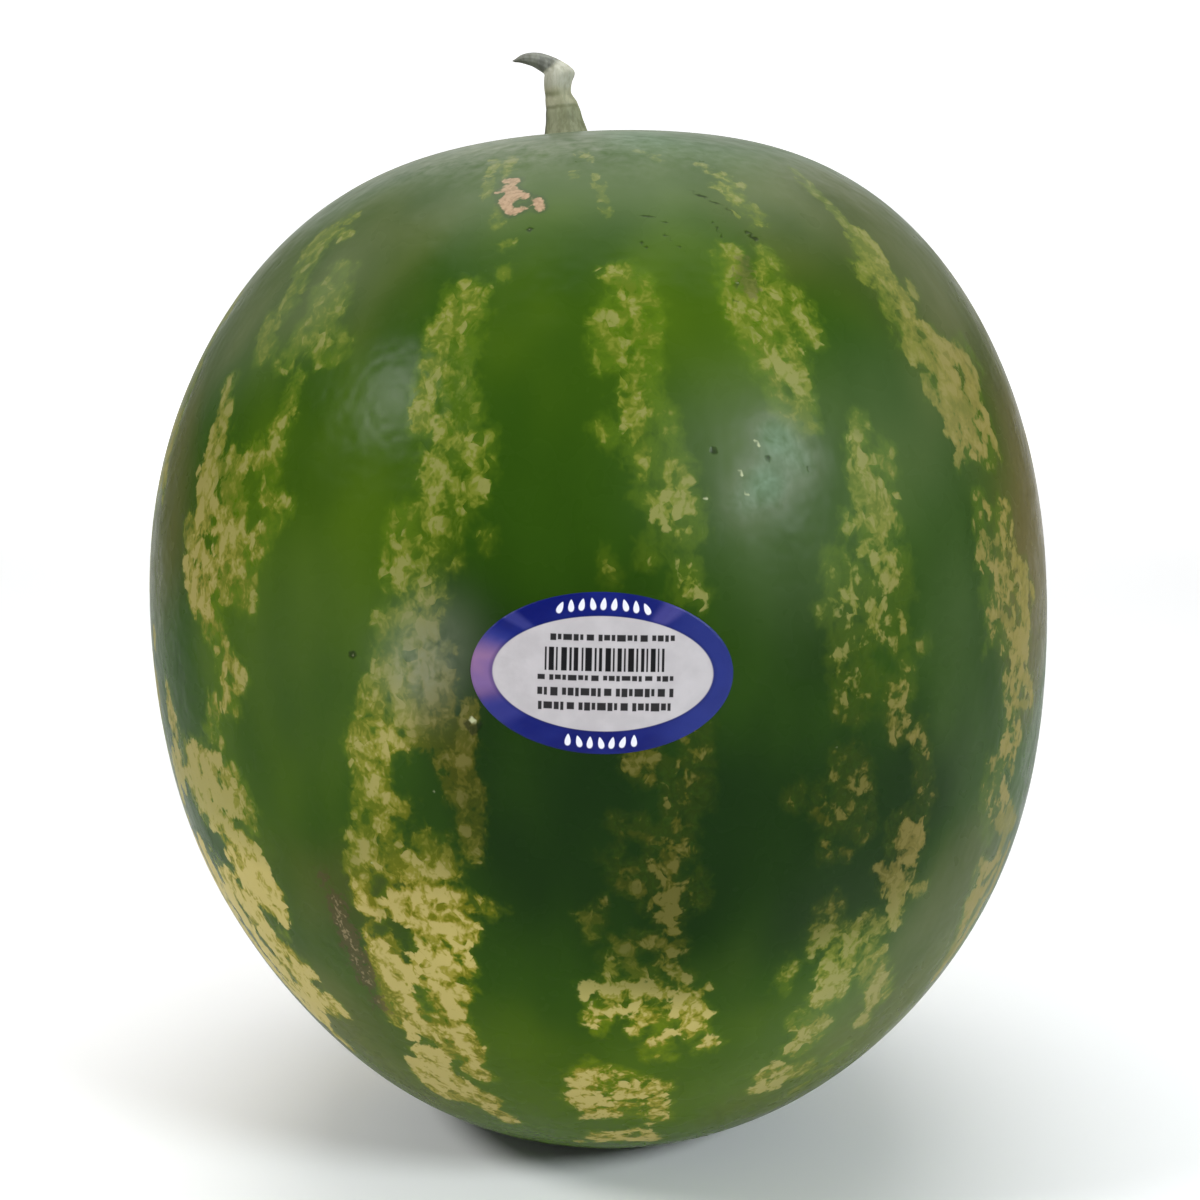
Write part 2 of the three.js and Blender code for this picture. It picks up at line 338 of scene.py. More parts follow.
LEFT_MID = {
    "cream": [
        (-13.1,238,-13.3,236,0.8), (-12.5,233,-12.7,232,0.9), (-15.1,233,-14.3,231,1.4), (-16.4,216,-15.6,214,0.9), (-16.4,213,-16.5,209,1.3),
        (-17.3,211,-16.2,208,1.6), (-12.5,207,-11.5,205,0.9), (-13.8,204,-11.8,205,1.5), (-10.4,203,-9.9,197,1), (-14.8,200,-14.2,198,1.5),
        (-15.6,197,-15,196,0.9), (-14.7,194,-14.6,192,2), (-18.2,179,-18,175,0.9), (-18.1,173,-18.1,173,1), (-14.9,171,-15,168,1.2),
        (-15.4,167,-15.4,167,0.9), (-15.8,165,-15.4,161,1.1), (-15.6,161,-15.3,158,1.2), (-17.2,155,-17,153,0.9), (-21.3,148,-21.2,144,0.9),
        (-17.3,142,-16.8,140,1.3), (-14.8,143,-14.8,143,1.1), (-19.9,140,-19.1,137,1.6), (-19.8,123,-19.8,123,0.8), (-23.9,108,-23.9,108,0.9),
        (-19.4,109,-17.3,108,1.6), (-20,108,-20.7,107,1.2), (-15.5,108,-15.5,108,1.4), (-18.8,105,-17.3,103,1.4), (-26.6,101,-26.3,100,0.9),
        (-15,103,-14.6,100,1.2), (-18.1,101,-17.5,100,1.2), (-25.9,98,-25.4,97,0.9), (-22.2,98,-20.3,97,1.4), (-19.1,97,-14.2,97,1.6),
        (-21.1,95,-18.7,93,1.6), (-16.8,94,-14.1,93,2.1), (-15.3,90,-14.2,89,0.9), (-25.4,86,-26,80,1.9), (-19.6,85,-18.6,82,2.4), (-17.1,84,-16.9,80,2.4),
        (-15.5,83,-15.5,83,1.4), (-25.4,78,-24.7,74,2.4), (-21.8,78,-23.1,75,1.9), (-19.4,76,-17.4,72,1.9), (-21.6,76,-24.2,73,1.5), (-24.2,71,-23.6,66,1.2),
        (-17.7,72,-17.5,68,1.5), (-16.8,70,-16.8,70,1), (-23.7,64,-21.7,62,1.7), (-25.6,62,-25.4,60,1.3), (-21.5,61,-21.1,60,1), (-18.1,61,-17.6,58,1.7),
        (-25.6,57,-25.6,57,1), (-23.8,53,-21.6,52,1.5), (-17.6,55,-17,53,1.3), (-28.8,46,-24.6,44,2.1), (-25,46,-22.1,43,2.3), (-26.3,39,-20.5,39,2.1),
        (-22.1,37,-18,34,1.6)],
    "khaki": [
        (-13.6,229,-13.7,228,0.9), (-11,195,-10.2,193,1.3), (-19.4,166,-19.1,167,0.9), (-19.1,155,-19.9,154,1.1), (-15.1,151,-15.1,151,0.9),
        (-18.2,150,-18.2,150,1.8), (-13.8,149,-13.8,149,0.9), (-17.3,147,-17.1,143,1.6), (-14.1,147,-13.7,145,1.3), (-10.7,147,-10.9,144,1.3),
        (-22.2,142,-22.2,142,0.9), (-15.7,139,-15.7,139,1.8), (-11.7,139,-11.5,132,1.5), (-12.9,132,-12.9,131,1.3), (-22.3,127,-22.1,125,1),
        (-13.8,102,-13.8,102,1.1), (-12.3,99,-12.3,99,0.9)],
    "faint": [
        (-14.9,262,-13.5,260,1), (-12.9,160,-12.9,160,0.9), (-18.2,141,-14,140,2.2), (-12.9,142,-11.4,139,1.8)],
    "lime": [
        (-14.4,235,-13.1,228,3.6), (-16,230,-17.3,229,1.4), (-11.6,226,-12,221,2.7), (-11.7,215,-11.1,210,1.5), (-12.6,210,-11.7,208,1.5),
        (-9.8,208,-8.7,203,1.5), (-12.4,194,-12,191,2), (-17.1,188,-17.2,181,3.3), (-13.6,187,-14,181,3.1), (-16.7,178,-16.3,175,1.3),
        (-24.6,138,-25,135,1.6), (-23.1,136,-20.4,136,1.8), (-22.9,133,-23.5,129,1.6), (-12,126,-11.5,116,2.9), (-21.3,123,-21.2,118,2.1),
        (-18.2,123,-18.2,123,1.4), (-10.4,123,-10.9,116,1.3), (-23.5,112,-24.2,111,1.9)],
    "dark": [
        (-21.8,140,-21.8,140,1.1), (-18.3,140,-18.3,140,0.9), (-17,134,-16.8,128,2.7), (-18.7,133,-18.7,127,2.7), (-14.2,132,-14.2,132,1.1),
        (-14.8,122,-14.9,116,1.8), (-19.4,118,-19.4,118,1.4), (-23,103,-23.5,100,2.1), (-20.7,102,-20.7,102,0.9), (-23.5,92,-24.4,90,1.7),
        (-20.8,89,-20.6,86,1.7), (-18.5,89,-18.5,89,0.9), (-15.7,88,-15.7,88,0.9), (-15,86,-14.4,84,0.7), (-22.2,74,-20.3,74,1), (-21.5,72,-20.9,68,1.7)],
    "tan": [
        (-11,263,-9,263,1), (-9.7,261,-8.8,259,1.4), (-12.2,260,-10.8,261,0.4), (-8.5,260,-6.6,259,1), (-4.4,258,-3.8,256,1), (-10.4,258,-9.6,257,1.1),
        (-9.2,256,-8.4,255,1), (-8.4,255,-6.6,256,0.7)],
    "wash": [
        (-13.3,237,-11.8,232,2.7), (-14.8,231,-13.8,228,2.5), (-16.6,229,-15.3,224,1.8), (-16.4,221,-14.4,219,1.8), (-16.6,216,-16.4,208,2.2),
        (-13.3,206,-11.6,205,2.6), (-10,202,-9.9,194,2.2), (-14.5,200,-14.3,193,2.6), (-11.8,195,-10.4,192,2), (-14.8,191,-14.7,182,2.4),
        (-18.3,182,-18.3,173,1.3), (-15.2,172,-14.7,168,2), (-15.2,166,-15.3,158,2.2), (-19.9,155,-18.7,155,2), (-14.8,155,-13.8,148,2.9),
        (-21.2,147,-20.8,142,1.6), (-24,136,-19.8,136,2.5), (-23.9,140,-23.4,138,1.8), (-11.9,138,-11.6,131,2.4), (-13.1,133,-12.6,132,1.6),
        (-23.6,132,-22.2,130,1.8), (-22,126,-19.2,122,2.3), (-21.8,119,-21.4,116,2.1), (-25.1,112,-23.8,109,2.6), (-20,108,-14.7,109,3),
        (-25.9,100,-25.7,96,2.1), (-20.8,98,-14.6,100,3.5), (-17.5,94,-13.6,93,3.5), (-24.9,82,-23.4,78,3.6), (-18.6,82,-15.3,83,4),
        (-24.2,73,-23.2,70,2.7), (-18.9,75,-15.5,75,2.6), (-17.6,69,-17.1,68,1.7), (-23.2,62,-21.4,60,3.2), (-17.1,63,-16.6,56,2.7),
        (-24.7,50,-23.9,40,3.9), (-18.1,49,-16.7,47,2.3), (-25.8,35,-19.5,36,2.9), (-18.8,32,-16.3,27,2.1), (-29.5,42,-28.6,34,1.9),
    ],
    "veil": [
        (-13,235,-14,224,4.8), (-15.3,224,-12.1,213,4.2), (-12.1,213,-11.8,205,3.8), (-9,205,-8.9,199,2), (-12.2,198,-12,191,4.8),
        (-13.6,187,-13,179,4.1), (-17.6,187,-18,174,4.2), (-8.7,184,-8.7,182,1.3), (-15.2,177,-16.4,161,5.3), (-19.2,165,-19.3,157,4),
        (-15.9,153,-16.1,144,7.5), (-20.6,147,-22.3,133,5.4), (-12.9,139,-11.7,126,4), (-22.1,124,-22.5,109,6), (-11.3,121,-11.6,114,2.5),
        (-16.1,113,-15.1,111,4.3), (-25.4,106,-23.4,99,4.5), (-11.7,100,-10,99,1.6), (-15.7,101,-18.6,72,6.2), (-24.8,87,-26.4,63,4.4),
        (-19.6,65,-18.3,56,6), (-25.4,42,-19.5,36,5.2),
    ],
}
MID = {
    "cream": [
        (5.8,241,5.4,239,0.9), (9.8,239,9.8,238,0.9), (6.8,237,7.5,235,0.9), (7.4,235,8.4,232,0.9), (6.3,232,6.5,231,0.8), (8.8,230,8.1,228,0.9),
        (6.1,213,8.1,213,1.3), (7.1,211,8,211,2), (6.8,209,7.8,207,1.5), (7.1,206,7.9,205,1.3), (7.5,203,7.6,201,1.2), (8.2,203,8.1,200,1.3),
        (10.5,200,10.4,197,1.3), (12,199,11.9,192,1.7), (7.6,199,8,197,1), (10.4,197,10.4,195,1.1), (9.2,194,12.3,194,0.9), (9.2,192,11.4,192,1.9),
        (11.4,191,12.2,190,1.3), (9.3,190,10.5,190,1.7), (10.9,189,11,186,1.3), (8.7,188,9.7,187,0.9), (11.2,186,12,186,1.1), (10.9,185,11,184,0.9),
        (11,179,11.5,178,0.8), (11.8,178,12.4,177,0.9), (12.7,173,13.5,172,1.1), (12.9,172,12.8,170,1.2), (9.1,117,9.6,115,1.3), (7.8,111,9.6,110,2),
        (8.3,109,9.6,108,1.1), (9.2,107,9.9,104,1.6), (11.3,106,12,107,1.1), (11.2,105,11.8,104,0.9), (9.6,104,10,101,1.1), (8.9,101,10,99,1.8),
        (8.7,98,10.2,97,1.8), (9.4,94,10.2,94,1.4), (9.6,93,9.1,92,0.9), (8,92,8.9,91,0.9), (6.9,91,8,91,1.2), (3.2,87,2.4,84,0.9), (10.2,86,10.7,85,0.8),
        (9.3,85,10.1,83,1.4), (11.1,81,11.1,81,0.9), (4.7,80,6.4,80,0.9), (0.7,80,1.4,79,0.8), (2.4,79,2.5,75,1.2), (-0,79,0.2,77,0.9), (6.5,79,8.8,78,1.9),
        (4.1,79,6.5,79,1.6), (8.8,78,10.3,77,0.9), (7.1,76,7.7,77,0.9), (3.2,75,4.8,75,1.2), (10.9,75,11.6,74,1.2), (6.5,75,7.3,75,0.9), (11.8,73,12.4,73,1),
        (5.4,73,7.8,71,0.8), (12.2,72,12.9,69,1.2), (10.5,72,11,71,1), (3.8,72,6,72,0.8), (1.9,72,1.9,71,1.1), (12.2,68,12.7,66,1.2), (0.9,68,1.4,68,1),
        (5.5,66,6.1,65,1.2), (11.2,65,12.7,65,0.8), (10.6,65,9.4,63,0.8), (15.3,62,16.4,61,1.1), (2.1,50,3.5,51,0.9), (-1,49,-0.4,47,1.1),
        (-2.5,48,-0.5,50,0.9), (7.5,47,8.9,48,1), (9.8,45,11.9,44,1), (-2.1,46,-1,44,1), (4.6,46,5,45,1.3), (7.9,45,7.9,41,1.5), (4,45,4.8,47,1),
        (-1.5,44,-0.7,43,1.3), (9.3,43,11.2,42,1.3), (0,42,1.3,40,1.3), (-2.5,41,0.3,40,1.8), (8.7,41,12,39,1.3), (4.7,41,7.8,42,1), (2.4,41,4.7,42,0.9),
        (6.4,39,9.8,37,1.3), (0.9,38,2.4,39,1), (11.4,38,12.5,37,1), (7.5,36,9,36,1), (-0.9,36,-1.2,39,1.3), (1.6,34,4,33,0.9), (-1,33,1.2,35,1.2),
        (10.5,31,12.6,33,0.9), (10.4,29,10.4,29,1.1), (10.4,25,13.9,18,1.6), (2.6,23,9.2,26,1.6), (-0.6,21,1.6,18,1.1), (1.6,20,12.7,19,1.9)],
    "khaki": [
        (8.4,242,8.6,240,0.9), (6.3,241,7.3,240,1.4), (7.9,239,8.6,237,1.4), (9.5,235,11.2,234,0.9), (4.9,231,4.4,228,1.1), (8.9,228,9.5,227,1.1),
        (4.4,228,4.7,227,1.1), (8.1,228,7.9,226,0.9), (5.3,226,6.1,224,1.1), (6.1,224,6.3,222,1), (8.3,222,8.6,220,0.9), (7,218,7.5,215,1.3),
        (7.3,215,7.6,214,0.9), (3.6,208,3.6,206,0.9), (8.5,197,9.1,196,0.9), (11.9,175,11.4,173,1.5), (11.4,141,11.2,140,0.9), (11.9,138,12.1,136,1),
        (5.2,137,7.6,138,1.1), (5.4,136,7.4,136,1.5), (5.2,134,6.4,134,1.1), (5.8,133,6.6,132,0.9), (9.9,127,9.9,127,0.9), (9.6,121,9.9,119,0.9),
        (9.4,116,10.4,115,1.1), (8.5,114,9.2,112,1.8), (2.7,113,3.6,113,0.9), (6.5,107,6.5,107,0.9), (7.8,103,7.7,100,1), (2.2,102,2.2,102,0.9),
        (9.1,90,9.7,88,1.2), (2.8,85,3.7,83,1.2), (11.8,78,12.9,75,1.2), (13.7,76,14.3,78,0.9), (12.5,75,14,72,1.7), (13.4,70,14.3,70,1.7),
        (6.3,70,8.5,70,1.2), (6.7,68,7.9,69,1.2), (13.2,64,13.2,64,1), (4,38,6.1,38,1.5), (5,34,5,34,1), (-3.1,17,-3.1,17,1.1)],
    "faint": [
        (6.5,262,6.6,260,1), (7.4,134,7.6,132,1.3), (11.4,126,12.2,127,0.9), (10.2,122,11.4,120,1.1), (4.3,122,5.1,122,0.9), (5.2,119,6.8,118,1.3),
        (11,114,11.7,114,0.9), (4.7,110,5.7,110,1.3), (4.2,107,6.3,105,2), (0.5,98,1.8,98,1.6), (0.6,95,0.8,94,0.9), (3.2,93,3.9,91,1.1),
        (11.2,91,11.2,91,0.9), (10.2,91,10.8,91,1.4), (4.7,90,5.8,83,1.9)],
    "lime": [
        (10.2,237,11.3,235,2), (5.5,235,5.8,232,1.3), (9.3,234,10.3,230,1.6), (6.7,230,6.6,225,1.8), (4.1,225,5.1,222,2), (8.7,225,10,223,1.3),
        (5.7,221,5.7,221,1.8), (9.3,219,9.7,213,2), (10.2,212,10.8,207,1.7), (4.2,208,4.8,205,2), (11.3,208,11.4,204,1.5), (8.8,205,9.1,198,2),
        (9.2,201,9.4,197,1.5), (7.9,194,8.3,192,1.9), (12.4,190,13.6,188,1.5), (10.4,173,10.8,171,1.3), (12.9,135,13.5,134,1.3), (8.9,135,9.4,132,1.8),
        (6.3,107,8.4,105,1.4), (1.4,74,1.7,66,2.1), (13.9,73,13.9,73,2.1), (6.6,70,9.9,66,1.9), (8.3,60,10.2,61,1.5), (9.6,59,11.5,56,1.5),
        (-2.6,51,0.3,55,1.5), (0.9,48,2.4,45,2.3)],
    "dark": [
        (12.8,194,12.8,194,0.7), (6.8,101,7,96,1.1), (5.2,99,5.2,99,1.8), (7.5,87,7.5,87,2.1), (2,82,2,82,0.9), (7.1,80,7.1,80,0.7), (3.4,78,3.4,78,0.8),
        (5.3,75,5.3,75,0.8), (9.4,74,10.3,75,0.9), (7.8,74,7.8,74,0.7), (10,72,10,72,0.7), (7.1,33,9.3,33,0.8), (1.6,29,8.7,30,1.1)],
    "wash": [
        (6.7,240,8.5,239,2.5), (8.2,235,11.2,234,1.6), (6.8,232,8.2,232,1.6), (5.1,228,5.4,224,1.6), (8.9,227,10,226,2), (7.5,216,7.6,214,1.5),
        (7.5,212,7.6,207,2.4), (7.7,203,8,198,1.7), (10.5,199,10.6,196,1.7), (11.8,201,11.9,196,1.7), (7.9,193,12.5,192,1.9), (9.8,190,12.4,189,2.4),
        (11,186,11.7,185,1.5), (3.6,208,4.1,206,1.1), (11.8,177,12.1,173,1.9), (6.4,136,6.9,133,2.2), (11.9,138,12,137,1.5), (10.7,135,10.8,134,1.3),
        (10.4,130,11.2,126,1.8), (9.9,120,10.4,117,1.8), (8.8,115,9.4,108,2.2), (11.5,106,12.6,108,1.1), (9.6,105,9.8,95,2), (7.3,101,7.4,101,1.4),
        (7.4,92,9.1,91,1.6), (3.2,86,2.8,83,1.4), (9.8,85,11.1,81,1.6), (3,77,7.6,78,2.4), (8.8,80,9.5,75,1.9), (1.8,71,3,71,1.2),
        (6.6,73,9.6,73,1.4), (12,73,13.1,66,2.2), (6.1,65,6.7,69,1.2), (15.6,60,16.3,60,1.7), (-0.5,51,0.1,45,2.5), (-2.4,41,-0.1,37,2.1),
        (1.6,34,4,37,2.1), (5.4,43,10.7,45,2.8), (10.3,40,12.3,31,2.1), (1.6,23,12.3,20,2.2),
    ],
    "veil": [
        (8.5,239,9.7,230,4.5), (4.9,230,5.3,222,2.9), (9.5,228,9.7,222,2.9), (8.4,220,8.1,213,2.9), (10.6,209,10.6,203,2), (9.2,203,9.5,196,2.8),
        (7.9,184,8,180,1.7), (10.9,192,12.2,186,3.7), (3.5,180,3.9,176,1.3), (12.5,141,12.4,126,2.4), (6.4,136,6.6,135,2.8), (10.9,129,10.4,120,3.3),
        (4.2,121,6.3,120,2.4), (4,116,4,115,1.3), (8.3,117,8.3,108,3.4), (5.2,108,7.3,108,3.8), (1.1,99,1.1,94,1.8), (6.3,90,7.5,87,4.9),
        (11.6,105,12.7,102,1.6), (4.1,87,4.1,80,4), (7.7,76,10.2,72,4.7), (12.5,75,13.8,65,2.6), (9.4,63,8.3,58,2.2), (4.2,76,1.7,70,3.1),
        (1.6,49,7.6,45,5.8), (1.6,37,9.9,36,4.7), (1.6,23,12.3,20,3.2),
    ],
}
RIGHT_MID = {
    "cream": [
        (28.3,262,28.1,260,0.9), (28.1,260,27.9,258,1), (26.6,243,26.4,240,0.8), (26.6,239,27.3,236,1.2), (27.6,236,27.9,235,0.8), (24.2,234,24.7,231,1),
        (30.1,233,30,231,0.9), (21,233,21.3,231,1), (29.7,231,30.4,229,1.3), (30.4,229,30.5,227,0.9), (27.1,225,27.2,223,0.9), (23.6,224,24.8,223,0.9),
        (27.2,223,27.5,220,0.8), (23.7,222,24.9,222,1.4), (23.4,221,24.4,220,1.6), (25.4,219,26.3,220,1.4), (27.4,219,27.5,217,0.9), (23.5,218,24,217,1.2),
        (25.1,218,26.5,218,1.4), (26.4,217,27.1,215,1.5), (32.4,203,32.4,201,1.3), (33,202,32.8,199,1.1), (32.2,198,33.2,198,1.1), (32.8,178,32.9,175,1),
        (35.1,178,35.3,174,1.4), (33.6,174,34.9,173,1.1), (33.8,173,34.8,172,1.6), (30.3,173,30.8,170,1), (33.8,170,34.1,170,0.8), (30.2,169,30.1,166,1.4),
        (31.9,167,32.4,165,2), (29.4,166,30.4,166,0.9), (33.9,165,34.1,163,0.8), (31.5,164,32.3,162,1.6), (31.5,161,32.5,159,0.9), (28.5,158,28.6,156,0.8),
        (29.8,157,30.2,156,0.8), (27.5,156,27.7,153,0.9), (27,154,27.3,153,1), (28.7,153,29.1,153,0.8), (35.7,149,36.2,148,1), (29,149,28.4,148,1),
        (36.2,147,36,145,1.2), (31.1,147,31.5,147,0.9), (30.4,147,31.6,145,0.9), (33.8,145,35.8,144,1.2), (34,144,35.3,144,1.2), (36.2,142,36.5,139,0.9),
        (34.4,140,34.3,139,1.2), (35.8,138,35.6,137,0.8), (26.9,130,27.4,128,1.1), (29.1,129,29.7,128,0.9), (31.2,126,30.8,125,1), (29.2,125,29.1,124,0.8),
        (25.5,125,26.5,124,0.9), (29.6,123,29.6,122,0.9), (26.5,123,27,122,0.9), (27.3,122,28,120,0.9), (29.6,120,29.6,119,1), (37.3,115,37.5,112,1.1),
        (38.6,112,39.4,111,1), (37.4,112,37.6,108,1), (37,106,39.4,105,1.2), (27,110,27,110,0.9), (37.2,105,38.4,104,1), (36.2,104,36.9,100,1.2),
        (36.5,100,38,97,1.7), (37.7,100,38.3,97,1.2), (37,96,38.1,94,1.2), (38.1,92,38.6,90,0.9), (38.5,89,39.4,87,1), (28.7,91,29.1,90,1.1),
        (28.1,89,28.9,88,1.3), (28.1,87,28.7,86,1), (32.2,85,32.4,82,1.1), (30.2,79,31.4,73,2), (32.3,77,33.2,78,0.9), (40.2,72,40.4,69,1),
        (30,76,31.1,72,1.5), (32.1,75,33,72,1.5), (39.7,69,39.6,67,1.3), (40.2,67,42,62,1.5), (32.6,70,32.7,71,0.9), (29.5,71,30.4,68,1.4),
        (41.3,61,41.3,58,0.9), (42.8,56,41.5,55,1.3), (31.2,57,30.8,56,1.1), (30.2,55,29.4,53,1.4), (27.4,48,28.8,48,1.3), (29.2,44,31.7,40,1.6),
        (27.7,42,29.5,38,1.6), (29.8,39,31.5,38,1.6), (27.8,38,26.8,38,0.9)],
    "khaki": [
        (29.8,262,31.9,262,1), (23.6,245,22.7,242,0.9), (23.9,235,24.1,233,1.4), (22.2,235,23.4,236,1.1), (26.1,234,26.2,233,1.1), (21.9,233,22.6,231,0.9),
        (26.6,230,26.8,228,1), (24.5,229,24.7,228,1.1), (31.1,228,31,227,0.9), (23.2,227,24.4,229,0.9), (21.6,227,23.2,227,0.9), (23.8,226,24.7,228,0.9),
        (24.8,216,24.4,214,0.9), (24.5,214,25.6,212,1.1), (25.7,212,25.6,210,0.9), (33.5,196,34.4,195,1.4), (33.6,194,34.1,192,1.6), (35.5,191,36.4,191,1.1),
        (34.3,190,35.4,187,1.6), (34.6,190,35.6,189,1.1), (32.9,190,33.4,187,1.6), (31.6,190,31.1,186,1.1), (34.7,187,34.6,184,1.6), (32.5,187,33.3,186,1.4),
        (33.5,184,34.8,183,1.4), (33.4,182,34.2,180,1.1), (34,181,34.2,177,1), (31.7,181,31.1,179,0.9), (29.3,171,29,169,0.9), (28.3,171,29.2,168,1.1),
        (33.3,167,33.5,166,0.9), (35.8,163,36,161,1.2), (33.3,159,33.3,159,0.9), (34.2,148,35.3,147,1.2), (37.1,136,37.8,135,1.2), (39.7,111,40.3,108,1),
        (38.7,109,38.7,109,1), (26.6,113,27.1,110,0.9), (34.6,105,35.6,101,1.2), (28.3,96,28.7,94,0.9), (32.5,90,32,88,1), (32.6,87,33.2,85,1),
        (26.8,86,27.2,87,1), (30.2,84,29.8,81,1.7), (37.4,79,38,80,1), (32.3,62,33.6,59,1.5), (30.3,44,31.3,45,1.3), (32.3,41,35.1,41,1.6)],
    "faint": [
        (31,256,31.1,255,1), (21.9,229,23,228,1.8), (26.7,212,27.1,207,1.6), (33,207,33.3,205,1.1), (31.4,195,32,191,1.8), (25.4,121,26.3,119,1.4),
        (29.3,110,29.3,110,1.4), (37,75,37.1,72,1), (34.1,44,36.2,43,1.3), (37.9,40,42.5,39,1.1), (38,31,39.5,35,1.4), (35.5,30,35.5,30,1.1)],
    "lime": [
        (22.3,247,22.8,244,1.6), (20.4,238,21.5,235,1.4), (23.1,233,25,228,2.5), (27.8,233,28.2,231,1.4), (25.2,226,25.8,222,1.6), (21.4,226,22.2,223,1.4),
        (23.4,213,24.2,209,1.8), (27,212,27.3,207,1.8), (36.7,202,37.1,200,1.4), (32.8,195,33,191,2.7), (27.9,180,27,175,1.6), (36.7,177,36.8,170,1.4),
        (28.8,175,29.8,169,2.2), (26.7,173,27.8,170,1.3), (34.2,166,34.8,161,1.8), (35.9,163,36.1,160,1.4), (38.5,157,38.5,157,1.6), (36,155,36,151,1.4),
        (30.1,154,31.4,153,1.8), (30.7,151,32,152,1.8), (30.4,148,30.4,148,1.6), (28.3,144,30.7,143,1.6), (30.2,134,29,131,1.8), (27.9,127,28.7,120,2.3),
        (22.1,126,22.5,123,1.6), (29.9,123,31.9,121,1.4), (39.1,118,40.2,114,1.4), (39.3,99,40.8,94,1.5), (30,91,31.5,85,2.2), (30.2,84,29.8,81,2.2),
        (36.3,79,40.4,69,2)],
    "dark": [
        (25.6,224,26,222,0.7), (25.3,215,25.7,214,0.9), (35.5,184,35.3,183,0.7), (35.2,180,35.2,180,0.9), (33.9,176,33.9,176,0.8), (30.7,164,30.7,164,0.7),
        (28.7,155,28.7,155,0.8), (34.9,142,34.9,142,0.7), (27.1,126,27.1,126,0.7), (38.1,103,38.1,103,1), (28.1,84,28.1,84,0.7)],
    "brown": [
        (24.7,243,23.7,237,2.5)],
    "wash": [
        (30.1,264,28.9,259,2), (29.8,253,30.1,253,1.2), (23.2,245,22.8,243,1.4), (26.9,243,27.3,238,1.2), (27.7,238,27.7,235,1.4),
        (21.5,233,22.3,231,1.6), (24,234,24.2,231,1.4), (23.7,228,23.9,228,2), (22.5,225,24.2,224,1.6), (24.1,223,24.1,218,2.5),
        (27,225,27.4,219,1.4), (25.5,219,26.9,216,2.5), (30.5,233,30.4,229,1.4), (27.6,230,27,229,1.1), (26,214,26.5,213,1.6),
        (32.7,204,32.7,198,1.6), (33.4,195,34.5,193,1.8), (35.8,191,35.8,191,1.4), (32.9,190,34.7,187,2.1), (33.5,184,33.6,182,1.8),
        (36.1,200,36.3,196,1.2), (36,186,36.5,184,1.1), (32.7,177,32.8,177,1.4), (34,177,35.2,174,2.1), (29.4,173,30.4,169,1.6),
        (31.6,166,31.8,162,2.3), (33.8,166,33.9,164,1.1), (27.1,156,28.3,157,1.3), (28.9,151,28.3,149,1.1), (30.7,147,31.4,146,1.1),
        (35.3,147,36,149,1.6), (34.4,143,35,138,2.1), (27.2,129,27.6,128,1.4), (26.1,125,25.5,125,1.1), (29.1,128,29.6,120,1.4),
        (30.7,131,31,126,1.4), (26.8,110,26.8,110,1.2), (37.2,114,39.3,111,1.9), (37.6,108,38.7,105,2.7), (36.6,103,37.7,97,2.7),
        (37.8,93,38.2,90,1.5), (28.5,90,29.3,89,1.7), (26.3,91,27.3,85,1.2), (32,86,32.4,89,1.5), (30.3,78,32.8,73,2.9), (29.6,70,30.7,69,1.7),
        (39,74,41.5,68,1.5), (40,66,41.3,62,1.5), (40.3,58,42.5,55,1.6), (30.1,57,31,59,1.8), (29.2,54,29.6,53,1.5), (27.2,45,30.3,44,2.3),
        (27.2,39,27.7,39,1.6), (33.7,45,35,46,1.3),
    ],
    "veil": [
        (28.2,263,28.8,256,3.2), (22.5,246,22.6,240,2.6), (28.5,246,28.9,244,1.9), (22.8,235,24.3,228,4.8), (27.1,242,27.6,235,2.6),
        (23.3,226,25.5,215,5), (29.8,235,30.4,228,3), (25.3,213,26.6,209,3.4), (33.7,208,33.4,204,1.6), (33,197,33.8,184,3.9),
        (36.3,201,36.4,197,2.1), (33,182,35.1,173,4.3), (30.1,187,30,185,1.6), (27.8,178,28.1,171,2.9), (30,173,31.5,162,4.3),
        (36.7,177,36.4,170,2.1), (35,168,35.4,159,2.5), (26.2,167,26.5,166,1.8), (29,160,29.5,146,5), (31.4,151,31.6,150,3), (36.1,156,36.7,147,2.1),
        (34.6,147,35.4,138,3.2), (38.3,137,39.6,122,1.9), (39,157,38.9,156,1.6), (29,130,29.9,120,5.8), (22.9,126,22.9,125,1.8),
        (26.9,120,31.5,115,3), (40.3,119,39.3,115,1.9), (37.2,113,37.7,100,5.1), (41.5,95,41.6,95,2.2), (38.5,92,38.6,91,2.7), (28.2,96,29.8,87,3.6),
        (33.6,85,34.9,82,4.6), (27.4,91,27.5,90,2.6), (31.1,78,32.1,69,3.7), (36.3,79,42.3,63,3.8), (34.3,91,37.2,87,2), (24.5,81,24.4,76,1.7),
        (28.4,64,32.4,57,3.3), (31.1,53,31.4,52,2.8), (29.2,44,34.1,44,3.4), (40,44,42.5,48,1.9),
    ],
}
